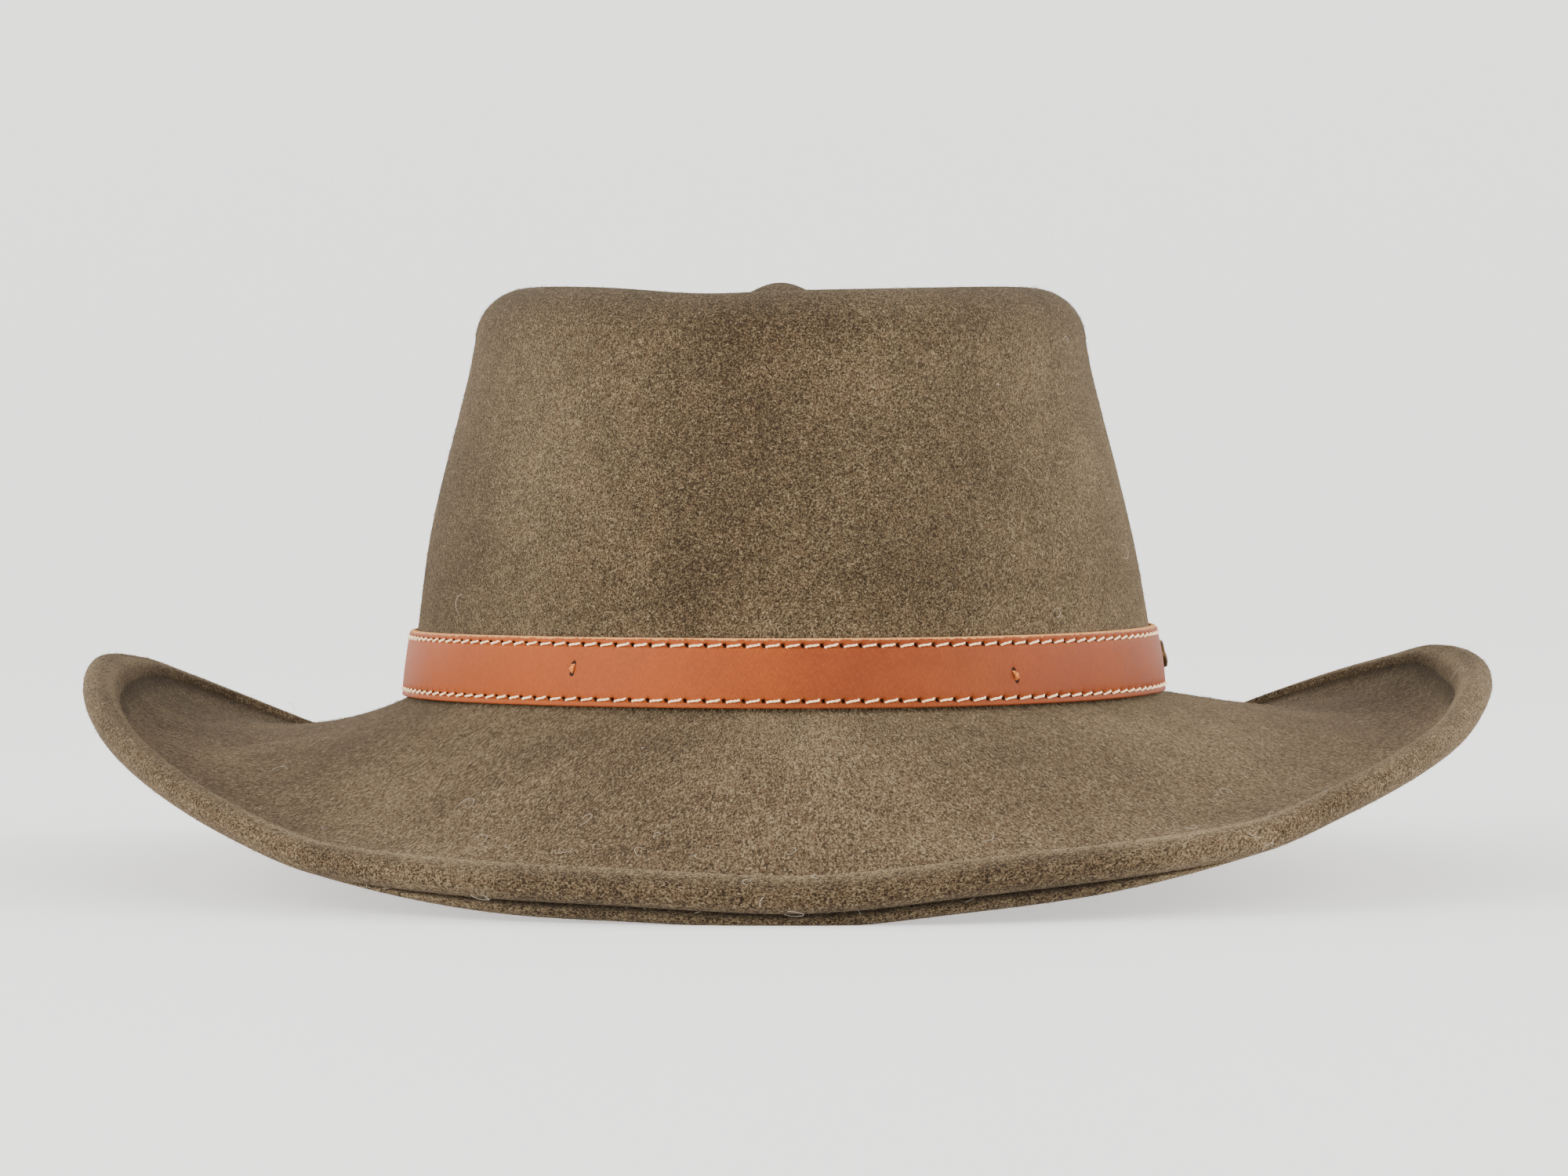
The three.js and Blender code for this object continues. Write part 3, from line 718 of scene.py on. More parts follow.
def felt_finish(colours):
    """Brushed wool felt: soft patches and a mottle of short curled fibres with dark gaps between, with a
    painted highlight along the turned edge's fold and painted shade in its creases, on the lip, inside the
    curls and on the crown.
    """
    finish = Finish("wool_felt", Roughness=0.95, Sheen_Weight=0.18, Sheen_Roughness=0.25,
                    Specular_IOR_Level=0.1)
    finish.shader.inputs["Sheen Tint"].default_value = (0.8, 0.66, 0.48, 1)
    where = finish.place()
    lay = finish.attribute("lay", "Vector")
    tall = finish.place(scale=(1, 1, 0.4))
    combed = finish.place(scale=(1, 1, 0.3), turn=(0, -0.75, 0))
    patches = finish.noise(tall, 16, 3, 0.55, 0.4)
    clouds = finish.noise(where, 60, 4, 0.65)
    tufts = finish.noise(where, 260, 2, 0.6, 0.5)
    curls = finish.noise(lay, 1500, 1, 0.5, 1.6)
    grains = finish.noise(lay, 2900, 1, 0.5, 0.8)
    streaks = finish.noise(combed, 1700, 1, 0.5, 0.5)
    x, height = (finish.node("ShaderNodeSeparateXYZ", {}, {"Vector": where}, output=k) for k in (0, 2))
    nap = x.eased(0.012, 0.05) * patches.eased(0.35, 0.6)
    # Darker over the crown, most towards its top; down the middle and low on the crown, over the band, the
    # darkening is painted shade
    darker_crown_and_painted_shade = height.eased(0.05, 0.075) * (0.10 + height.eased(0.115, 0.135) * 0.14
                                           + (abs(x - 0.02)).eased(0.05, 0.015) * 0.09
                                           + height.eased(0.08, 0.055) * 0.1)
    fibre = curls + (streaks - curls) * nap * 0.8
    threads = finish.threads(lay, 620, 0.05, 1.8).most(finish.threads(lay, 900, 0.055, 1.6))
    tone = ((patches - 0.5) * 0.9 + (clouds - 0.5) * 0.4 + (tufts - 0.5) * 0.25
            + (fibre - 0.5) * 1.6 + (grains - 0.5) * 2.7 - darker_crown_and_painted_shade + 0.44)
    hue = (clouds * 0.5 + tufts * 0.5 + height.eased(0.045, 0.012) * 0.3).eased(0.3, 0.7)
    base = finish.mix(finish.mix(colours.felt_olive, colours.felt_warm, hue), colours.felt, 0.5)
    # Lighter fibres at random, and the painted highlight along the turned edge's fold and the lip's raised
    # line
    base = finish.mix(base, colours.felt_light, (tone.eased(0.5, 1.1) * 0.8 + threads * 0.35
                                                 + finish.attribute("crest") * 0.5).limited())
    # Dark gaps at random, and the painted shade in the creases, under the roll, on the lip and inside the
    # curls
    base = finish.mix(base, colours.felt_dark, (tone.eased(0.5, -0.1) * 0.9
                                                + finish.attribute("crease") * 0.7).limited())
    speck = finish.node("ShaderNodeTexVoronoi", {"feature": "F1"},
                        {"Vector": where, "Scale": 70, "Randomness": 1})
    base = finish.mix(base, (0.75, 0.73, 0.68), speck.eased(0.022, 0.012) * 0.7)
    finish.feed(Base_Color=base)
    finish.bump(tone * 0.8 + threads * 0.3, 0.0005, 0.7)
    return finish.material


class HAT_OT_felt(bpy.types.Operator):
    """Builds the felt crown and brim with its turned edge"""
    bl_idname = "hat.felt"
    bl_label = "Felt body"
    around = 360
    # Fibres lie round the brim: their pattern is drawn out across it, on a drum of this radius
    brim_stretch = 0.45
    lay_radius = 130
    # How thick the loose fibres stand on each stretch, and along the fold of the turned edge
    fuzz = {"top": 0.8, "shoulder": 1.5, "face": 1.0, "lip": 1.3, "inside": 0.4, "fold": 1.2}
    # Rows of the wall that still count as shoulder, and rows past the crown's foot that the band may hide
    shoulder_more, foot_more = 3, 6
    # No fibres from this far under the band to this far over it
    clear_under, clear_over = 0.6, 0.5
    # As shares of the way over the turned edge: its fold, how far the fold spreads, where painted shade
    # darkens the edge's face at the front and back, and where it does so all round
    fold_at, fold_spread = 0.3, 0.08
    dark_at_ends = (0.38, 0.5)
    dark_all_round = (0.5, 1.0)
    # As rows past the turned edge: the end of the painted shade in the crease under it, the lip's raised
    # line with its painted highlight and how far that spreads, and the lip's end
    crease_end, lip_line, lip_line_spread, lip_end = 4, 5.3, 0.9, 13
    # Rows of the brim over which painted shade darkens the inside of a curl towards the turned edge
    curl_rows = 20

    def execute(self, context):
        outline = Outline(context.scene.hat_sizes)
        band = in_millimetres(context.scene.hat_band)
        columns = [self.column(outline, band, 2 * math.pi * i / self.around) for i in range(self.around)]
        grid = np.array([column["place"] for column in columns])
        # The crown's middle and the one under it close the grid's ends
        tips = grid[0, [0, -1]]
        grid = grid[:, 1:-1]
        rows = grid.shape[1]
        faces = grid_faces(self.around, rows)
        last = self.around * rows
        for i in range(self.around):
            j = (i + 1) % self.around
            faces.append((last, i * rows, j * rows))
            faces.append((last + 1, j * rows + rows - 1, i * rows + rows - 1))
        material = felt_finish(context.scene.hat_colours)
        piece = add_piece("felt_hat", np.vstack([grid.reshape(-1, 3), tips]), faces, material,
                          ["felt_body"])
        for name in ("crest", "crease", "fuzz"):
            values = np.array([column[name][1:-1] for column in columns])
            set_values(piece, name, np.append(values.reshape(-1), [0, 0]))
        lay = np.array([column["lay"] for column in columns])
        set_values(piece, "lay", np.vstack([lay[:, 1:-1].reshape(-1, 3), lay[0, [0, -1]]]))
        return {"FINISHED"}

    def column(self, outline, band, angle):
        """The felt at an angle: its points and what its material and fibres need to know there."""
        line, crown, top, edge = outline.felt_line(angle)
        row = np.arange(len(line))
        place = outline.place(angle, line)
        fold, crest, crease = self.shades(outline, angle, row, top)

        shoulder = outline.counts["top"] + outline.counts["shoulder"] + self.shoulder_more
        fuzz = np.select([row < outline.counts["top"], row < shoulder, row < top + outline.counts["roll"],
                          row < top + edge],
                         [self.fuzz[name] for name in ("top", "shoulder", "face", "lip")],
                         self.fuzz["inside"]) + self.fuzz["fold"] * fold
        # None under the band
        above = line[:, 1] - outline.foot(angle) - band["above_foot"]
        fuzz[(row < crown + self.foot_more) & (above > -self.clear_under)
             & (above < band["height"] + self.clear_over)] = 0

        steps = np.hypot(*np.diff(line, axis=0, prepend=line[:1]).T)
        run = np.cumsum(steps * np.where((row > crown) & (row < top - 1), self.brim_stretch, 1))
        drum = np.stack([np.full(len(line), self.lay_radius * math.cos(angle)),
                         np.full(len(line), self.lay_radius * math.sin(angle)), run], axis=1)
        lay = np.where(row[:, None] < crown, place, drum) * MM
        return {"place": place, "crest": crest, "crease": crease, "fuzz": fuzz, "lay": lay}

    def shades(self, outline, angle, row, top):
        """Where an outline runs along the fold of the turned edge, the painted highlight on its raised
        lines and the painted shade in its creases, under the roll, on the lip and inside the curls."""
        cos = math.cos(angle)
        ends, side = outline.brim_at(angle)["lip"], cos ** 6
        # How far over the turned edge, 0 to 1, and how many rows past it, on the lip
        over = (row - top) / (outline.counts["roll"] - 1)
        past = row - top - outline.counts["roll"] + 1
        fold = np.exp(-(((over - self.fold_at) / self.fold_spread) ** 2))
        # Painted highlight along the fold, and at the front and back along the lip's raised line
        crest = fold + 0.6 * ends * np.exp(-(((past - self.lip_line) / self.lip_line_spread) ** 2))
        # Painted shade on the far inside of the curls, most of all on the wearer's right
        curl_painted_shade = (blend(0.4, 0.15, smooth(cos, -0.3, 0.3)) * abs(cos) ** 3
                   * smooth(math.sin(angle), -0.5, 0.2))
        # Painted shade: a dark line where the turned edge leaves the brim, the inside of the curls and the
        # lower part of the edge's face
        crease = (np.exp(-((row - top) ** 2.0))
                  + curl_painted_shade * smooth(row, top - self.curl_rows, top - 1) * (row < top)
                  + blend(0.0, 0.36, ends) * smooth(over, *self.dark_at_ends)
                  + blend(0.34 - 0.3 * side, 0.45, ends) * smooth(over, *self.dark_all_round))
        # Painted shade on the lip at the front and back: darkest in the groove under the roll, then over
        # the lip's face, least beyond it
        lip_painted_shade = blend(0.1, np.select([past < self.crease_end, past < self.lip_end], [1.0, 0.78], 0.1),
                       ends)
        return fold, crest, np.where(past > 0, lip_painted_shade, crease)


def fibre_finish(colours):
    """Loose wool fibres, some pale and some dark."""
    finish = Finish("loose_fibres", Roughness=0.9, Specular_IOR_Level=0.2, Sheen_Weight=0.2)
    finish.feed(Base_Color=finish.mix(colours.felt_dark, colours.felt_light, finish.attribute("tone")))
    return finish.material


def hair_finish(colours):
    """Pale curly hairs, of one colour."""
    finish = Finish("pale_hair", Roughness=0.8, Specular_IOR_Level=0.2)
    finish.shader.inputs["Base Color"].default_value = (*colours.stray, 1)
    return finish.material


class FeltFace:
    """The felt's faces, as places where fibres take root, in millimetres."""

    def __init__(self, felt):
        points = np.empty(len(felt.data.vertices) * 3)
        felt.data.vertices.foreach_get("co", points)
        quads = np.array([tuple(face.vertices) for face in felt.data.polygons if len(face.vertices) == 4])
        a, b, c, d = self.corners = (points.reshape(-1, 3) / MM)[quads].transpose(1, 0, 2)
        normals = np.cross(c - a, d - b) / 2
        areas = np.linalg.norm(normals, axis=1)
        down = b - a + c - d
        self.out = normals / areas[:, None]
        self.down = down / np.linalg.norm(down, axis=1)[:, None]
        self.across = np.cross(self.out, self.down)
        crest, crease, fuzz = (self.values(felt, name)[quads] for name in ("crest", "crease", "fuzz"))
        # Fibres take the felt's painted highlight along the fold and its painted shade in the creases, on
        # the lip and inside the curls
        self.tint = crest.mean(axis=1) * 0.4 - crease.mean(axis=1) * 0.75
        self.odds = areas * fuzz.min(axis=1)
        self.odds /= self.odds.sum()

    @staticmethod
    def values(felt, name):
        """The number that the felt keeps at each of its points."""
        values = np.empty(len(felt.data.vertices))
        felt.data.attributes[name].data.foreach_get("value", values)
        return values

    def roots(self, chance, count, odds):
        """Random places on the felt, with the directions out, down and across and the painted light there.
        """
        pick = chance.choice(len(odds), size=count, p=odds)
        u, v = chance.random((2, count, 1))
        a, b, c, d = (corner[pick] for corner in self.corners)
        here = (a * (1 - u) + b * u) * (1 - v) + (d * (1 - u) + c * u) * v
        return here, self.out[pick], self.down[pick], self.across[pick], self.tint[pick]


class HAT_OT_fibres(bpy.types.Operator):
    """Scatters short loose fibres over the felt, thickest on its edges, and a few long curly ones"""
    bl_idname = "hat.fibres"
    bl_label = "Loose fibres"
    # Nothing lies lower than this over the floor, and a short fibre's root is this deep in the felt
    lowest = 0.01
    root_depth = 0.12
    # How likely a curly hair is away from the brim's low front, which lies between these two heights
    hair_elsewhere = 0.04
    low_front = (30, 4)
    # A hair's thickness as a share of a short fibre's
    hair_thickness = 0.84

    def execute(self, context):
        felt = bpy.data.objects.get("felt_hat")
        if felt is None:
            raise RuntimeError("Build the felt body before its fibres")
        face = FeltFace(felt)
        sizes = in_millimetres(context.scene.hat_fibres)
        colours = context.scene.hat_colours
        chance = np.random.default_rng(5)
        material = fibre_finish(colours)
        for lot in ("first", "second", "third"):
            points, faces, tone = self.short_fibres(face, sizes, chance)
            piece = add_piece("felt_fibres_" + lot, points, faces, material, smooth_faces=False)
            set_values(piece, "tone", tone)
        self.hairs(face, sizes, chance).piece("stray_fibres", hair_finish(colours), "felt", "tone")
        return {"FINISHED"}

    def short_fibres(self, face, sizes, chance):
        """One lot of fibres: each is a three-sided spike with a bend, of seven points."""
        count = sizes["count"]
        here, out, down, across, tint = face.roots(chance, count, face.odds)
        spin = chance.uniform(0, 2 * np.pi, (count, 1))
        bend = spin + chance.uniform(-1.3, 1.3, (count, 1))
        lift = chance.uniform(0.1, 0.75, (count, 1))
        lift_end = lift * chance.uniform(-0.6, 0.9, (count, 1))
        reach = chance.uniform(sizes["shortest"], sizes["longest"], (count, 1)) / 2
        heading = down * np.cos(spin) + across * np.sin(spin)
        heading_end = down * np.cos(bend) + across * np.sin(bend)
        start = here - out * self.root_depth
        middle = start + (heading * np.cos(lift) + out * np.sin(lift)) * reach
        tip = middle + (heading_end * np.cos(lift_end) + out * np.sin(lift_end)) * reach
        side = np.cross(out, heading)
        radius = sizes["thickness"] / 2 * chance.uniform(0.6, 1.1, (count, 1))
        points = []
        for centre, size in ((start, radius), (middle, radius * 0.8)):
            for turn in np.radians([0, 120, 240]):
                points.append(centre + side * size * math.cos(turn) + out * size * math.sin(turn))
        points = np.stack([*points, tip], axis=1).reshape(-1, 3)
        points[:, 2] = np.maximum(points[:, 2], self.lowest)
        firsts = np.arange(count)[:, None] * 7
        faces = []
        for k, n in ((0, 1), (1, 2), (2, 0)):
            faces += (firsts + [k, n, n + 3, k + 3]).tolist() + (firsts + [k + 3, n + 3, 6]).tolist()
        faces += (firsts + [2, 1, 0]).tolist()
        # A random tone, with the painted light of the felt at the root added
        tone = np.clip(chance.normal(0.5, 0.26, count) + tint, 0, 1)
        return points, faces, np.repeat(tone, 7)

    def hairs(self, face, sizes, chance):
        """Long curly hairs, mostly low on the front of the brim."""
        first = face.corners[0]
        odds = face.odds * (self.hair_elsewhere + smooth(first[:, 2], *self.low_front) * (first[:, 1] < 0))
        here, out, down, across, _ = face.roots(chance, sizes["strays"], odds / odds.sum())
        hairs = Pile()
        for k in range(sizes["strays"]):
            size = chance.uniform(0.7, 2.2)
            sweep = chance.uniform(1.5, 5.0)
            spin = chance.uniform(0, 2 * np.pi)
            share = np.linspace(0, 1, 13)
            turn = spin + sweep * share
            path = np.stack([size * (np.cos(turn) - math.cos(spin)), size * (np.sin(turn) - math.sin(spin)),
                             0.1 + 0.5 * size * np.sin(np.pi * share) * chance.uniform(0.2, 1)], axis=1)
            points, faces, plies = thread_line((here[k], down[k], across[k], out[k]), path,
                                               sizes["thickness"] / 2 * self.hair_thickness, 4, 0)
            points = np.array(points)
            points[:, 2] = np.maximum(points[:, 2], self.lowest)
            hairs.add(points.tolist(), faces, [chance.uniform(0.7, 1)] * len(plies))
        return hairs


def shaded(colour, share):
    """A colour made darker or lighter by a share."""
    return tuple(min(1, share * value) for value in colour)


def leather_finish(colours, band):
    """Smooth tan leather with a fine pressed grain, a pale ragged edge and dark needle holes."""
    finish = Finish("band_leather", Roughness=0.45, Specular_IOR_Level=0.12)
    where = finish.place()
    run, rise, pit = (finish.attribute(name) for name in ("run", "rise", "pit"))
    clouds = finish.noise(where, 40, 3, 0.55)
    grain = finish.noise(where, 1500, 3, 0.6)
    worn = finish.noise(where, 150, 4, 0.7)
    grain_run, grain_rise = (2 * math.pi / pitch for pitch in band.grain_pitch)
    pressed = ((run + rise * 0.55) * grain_run).sine() * (rise * grain_rise).sine()
    pressed = pressed * clouds.eased(0.25, 0.6)
    x = finish.node("ShaderNodeSeparateXYZ", {}, {"Vector": where})
    # Painted shade: the face darkens from the wearer's right towards the middle and the wearer's left
    base = finish.mix(colours.leather_dark, colours.leather,
                      (clouds.eased(0.25, 0.75) * 0.4 + worn.eased(0.3, 0.7) * 0.15 + 0.45
                       - x.eased(-0.035, 0.02) * 0.5
                       + pressed * 0.5 + (grain - 0.5) * 1.3).limited())
    fleck = finish.node("ShaderNodeTexVoronoi", {"feature": "F1"}, {"Vector": where, "Scale": 160})
    base = finish.mix(base, shaded(colours.leather_dark, 0.4), fleck.eased(0.03, 0.018) * 0.5)
    ragged = (finish.noise(where, 900, 3, 0.7) - 0.5) * 1.2
    raw = (rise - (band.height - band.raw_edge) + ragged).eased(0, 0.1)
    base = finish.mix(base, colours.leather_edge, raw * 0.95)
    base = finish.mix(base, colours.leather_dark, (rise + ragged).eased(0.35, 0.1) * 0.6)
    # Painted shade in the needle holes and along under the stitch rows
    base = finish.mix(base, shaded(colours.leather_dark, 0.1), pit.limited())
    # The holes' painted shade is darkest: those of the tacks, then those of the needle
    dark = shaded(colours.leather_dark, 0.08)
    for tack_run, tack_height in band.tack_holes:
        away = (run - tack_run) * (run - tack_run) + (rise - tack_height) * (rise - tack_height)
        base = finish.mix(base, dark, away.eased(0.6, 0.2))
    # How far along from the nearest needle hole
    along = ((run / band.pitch - (band.hole_share - 0.5)).fraction() - 0.5) * band.pitch
    for row in band.rows:
        off = rise - row
        slanted = (along + off * band.hole_slant) / band.hole_width
        hole = slanted * slanted + off * off * 5.0
        base = finish.mix(base, dark, hole.eased(1.5, 0.7))
    finish.feed(Base_Color=base, Roughness=(0.4 + worn * 0.12 + raw * 0.4 + grain * 0.06).limited())
    finish.bump(pressed * 0.5 + grain * 0.4 + raw * ragged * 2.0 + worn * 0.3, 0.00008, 0.8)
    return finish.material


def thread_finish(name, bright, painted_ply_shade, glow):
    """Twisted sewing thread, with painted shade where its plies meet, glowing a little as painted light so
    that it stays clear.
    """
    finish = Finish(name, Roughness=0.75, Specular_IOR_Level=0.2, Emission_Strength=glow)
    strands = finish.noise(finish.place(), 2500, 2, 0.6)
    raised = finish.attribute("ply").eased(-1, 0.2)
    base = finish.mix(shaded(bright, painted_ply_shade), bright, (raised * 0.8 + strands * 0.5).limited())
    finish.feed(Base_Color=base, Emission_Color=base)
    finish.material.cycles.emission_sampling = "NONE"
    finish.bump(strands, 0.00005, 0.6)
    return finish.material


def metal_finish(colours):
    """Darkened brass, rubbed brighter on its high parts."""
    finish = Finish("dark_brass", Metallic=0.9, Roughness=0.4)
    where = finish.place()
    # Wear only on the stud: rubbed brighter at random and on its high parts
    rubbed = finish.noise(where, 900, 4, 0.7)
    stain = finish.noise(where, 350, 3, 0.6)
    share = (finish.attribute("rubbed") * 0.6 + rubbed.eased(0.45, 0.75) * 0.5).limited()
    base = finish.mix(colours.metal, shaded(colours.metal, 2.2), share)
    base = finish.mix(base, shaded(colours.metal, 0.3), stain.eased(0.5, 0.75) * 0.7)
    finish.feed(Base_Color=base, Roughness=(0.55 - share * 0.25 + stain * 0.1).limited())
    finish.bump(rubbed + stain, 0.00006, 0.5)
    return finish.material


class HAT_OT_band(bpy.types.Operator):
    """Builds the leather band with its pressed stitch rows and needle holes"""
    bl_idname = "hat.band"
    bl_label = "Leather band"
    # Where the mesh has a column of points within each stitch, close together near the needle hole
    column_shares = np.array([0.03, 0.09, 0.3, 0.55, 0.8, 0.86, 0.9, 0.935, 0.97, 1.0])
    # Where it has a row of points, as how far it is under a stitch row or, if negative, over it
    row_steps = np.array([-0.75, -0.5, -0.3, -0.12, 0.06, 0.24, 0.42, 0.6, 0.85])
    # No row of points on the face comes nearer to the band's edges than this
    face_margin = 0.72

    def execute(self, context):
        band = Band(Outline(context.scene.hat_sizes), context.scene.hat_band)
        profile = self.profile(band)
        starts = np.arange(band.stitches)[:, None] + self.column_shares
        tack_runs = [run + step for run, _ in band.tack_holes for step in np.linspace(-0.9, 0.9, 7)]
        runs = np.sort(np.concatenate([[0], starts.reshape(-1) * band.pitch, tack_runs]))
        pressed = [self.pressed(band, profile, run) for run in runs]
        points = [band.at(run, places) for run, (places, _) in zip(runs, pressed)]
        columns, rows = len(runs), len(profile)
        faces = grid_faces(columns, rows, closed_round=False, closed_up=True)
        faces.append(tuple(range(rows)))
        faces.append(tuple((columns - 1) * rows + k for k in range(rows))[::-1])
        piece = add_piece("stitched_band", np.vstack(points), faces,
                          leather_finish(context.scene.hat_colours, band),
                          ["leather_band"])
        set_values(piece, "run", np.repeat(runs, rows))
        set_values(piece, "rise", np.tile(profile[:, 0], columns))
        set_values(piece, "pit", np.concatenate([pit for _, pit in pressed]))
        return {"FINISHED"}

    def profile(self, band):
        """The band's outline, as (height, out): over its top edge, down its face and up its back."""
        high, thick = band.height, band.thickness
        low_row, high_row = band.rows
        face = np.concatenate([high_row - self.row_steps, np.linspace(high_row - 1.6, low_row + 1.6, 9),
                               low_row - self.row_steps])
        face_top = high - self.face_margin
        face = [face_top, *sorted(face[(face > self.face_margin) & (face < face_top)])[::-1]]
        top_edge = [(high, -thick + 0.05), (high + 0.02, -1.1), (high, -0.72), (high - 0.12, -0.42),
                    (high - 0.32, -0.2), (high - 0.55, -0.06)]
        low_edge = [(0.5, 0.06), (0.28, 0.08), (0.1, 0.02), (0.0, -0.2), (0.0, -0.9), (0.0, -thick + 0.05)]
        back = [(high * 0.33, -thick), (high * 0.66, -thick)]
        return np.array(top_edge + [(height, 0) for height in face] + low_edge + back)

    @staticmethod
    def pressed(band, profile, run):
        """The outline at a run, with the stitch rows, the holes and the tacks pressed in, and how deep in a
        hole or in the groove under a stitch row each of its points is, 0 to 1, for the painted shade there."""
        places = profile.copy()
        height = profile[:, 0]
        outer = (profile[:, 1] > -0.3).astype(float)
        away = (band.holes - run)[np.abs(band.holes - run).argmin()]
        swell = noise.noise(Vector((run / 35, 0.5, 0))) * 0.12
        pit = np.zeros(len(profile))
        for row in band.rows:
            off = height - row
            places[:, 1] -= outer * 0.2 * np.exp(-((off / 0.5) ** 2))
            hole = 1.1 * np.exp(-(((away + band.hole_slant * off) / band.hole_width) ** 2)
                                - (((off - 0.05) / 0.46) ** 2))
            # A shallow groove along under the stitch row, painted dark as the thread's shadow
            rubbed = 0.36 * np.exp(-(((off + 0.32) / 0.16) ** 2))
            pit = np.maximum(pit, np.maximum(hole, rubbed))
        for tack_run, tack_height in band.tack_holes:
            pit = np.maximum(pit, 0.8 * np.exp(-(((run - tack_run) / 0.5) ** 2)
                                               - (((height - tack_height) / 0.5) ** 2)))
        low_row, high_row = band.rows
        inside = np.clip((height - low_row) / (high_row - low_row), 0, 1)
        places[:, 1] += outer * ((0.1 + swell) * np.sin(np.pi * inside) - 0.6 * pit)
        return places, np.clip(pit * outer * 1.5 - 0.2, 0, 1)


class HAT_OT_stitches(bpy.types.Operator):
    """Sews the two rows of stitches and the small tacks on the band"""
    bl_idname = "hat.stitches"
    bl_label = "Stitches"
    # Where a stitch's middle lies within the pitch, and how far it may stray along the row
    middle_share = 0.46
    stray = 0.06
    # It lies this high on the leather and goes this deep at its ends, over the last part of each half,
    # from this share on. Its ends hook up or down by this much
    lie, depth = 0.14, 0.8
    dive_from = 0.78
    hook = 0.18
    # The two threads of a tack stand this far from its middle and are this thick, by half
    tack_shift, tack_radius = 0.24, 0.32

    def execute(self, context):
        colours = context.scene.hat_colours
        band = Band(Outline(context.scene.hat_sizes), context.scene.hat_band)
        sewing = thread_finish("sewing_thread", colours.thread, 0.45, 0.8)
        self.rows(band).piece("band_stitches", sewing, "band_leather", "ply")
        tacking = thread_finish("tack_thread", colours.tack, 0.3, 0.1)
        self.tacks(band).piece("band_tacks", tacking, "band_leather", "ply")
        return {"FINISHED"}

    def rows(self, band):
        """The stitches: slanted, with both ends hooked and going down into the needle holes."""
        chance = random.Random(11)
        pile = Pile()
        half = band.stitch_length / 2
        for row in band.rows:
            for i in range(band.stitches):
                middle = (i + self.middle_share) * band.pitch + chance.uniform(-self.stray, self.stray)
                frame_here = band.frame_at(middle, row)
                slant = chance.uniform(0.1, 0.26)
                path = []
                for share in np.linspace(-1, 1, 17):
                    dive = max(0, abs(share) - self.dive_from) / (1 - self.dive_from)
                    hooked = self.hook * (smooth(share, 0.6, 1) - smooth(-share, 0.6, 1))
                    path.append((share * half, slant * share + hooked, self.lie - self.depth * dive ** 2))
                pile.add(*thread_line(frame_here, path, band.thread / 2 * chance.uniform(0.92, 1.08), 10,
                                      chance.uniform(1.2, 1.8), 0.85))
        return pile

    def tacks(self, band):
        """The tacks: two bowed threads side by side, each from a hole to the one over it."""
        pile = Pile()
        for tack in TACKS:
            frame_here = band.frame_at(band.run_at_front(tack["x"]), tack["height"])
            for shift in (-self.tack_shift, self.tack_shift):
                path = [(shift * math.cos(share * 2.2) + tack["lean"] * share, share * 0.92,
                         0.4 * (1 - share ** 2) - 0.7 * max(0, abs(share) - 0.6) / 0.4 + 0.08)
                        for share in np.linspace(-1, 1, 13)]
                pile.add(*thread_line(frame_here, path, self.tack_radius, 10, 1.4))
        return pile


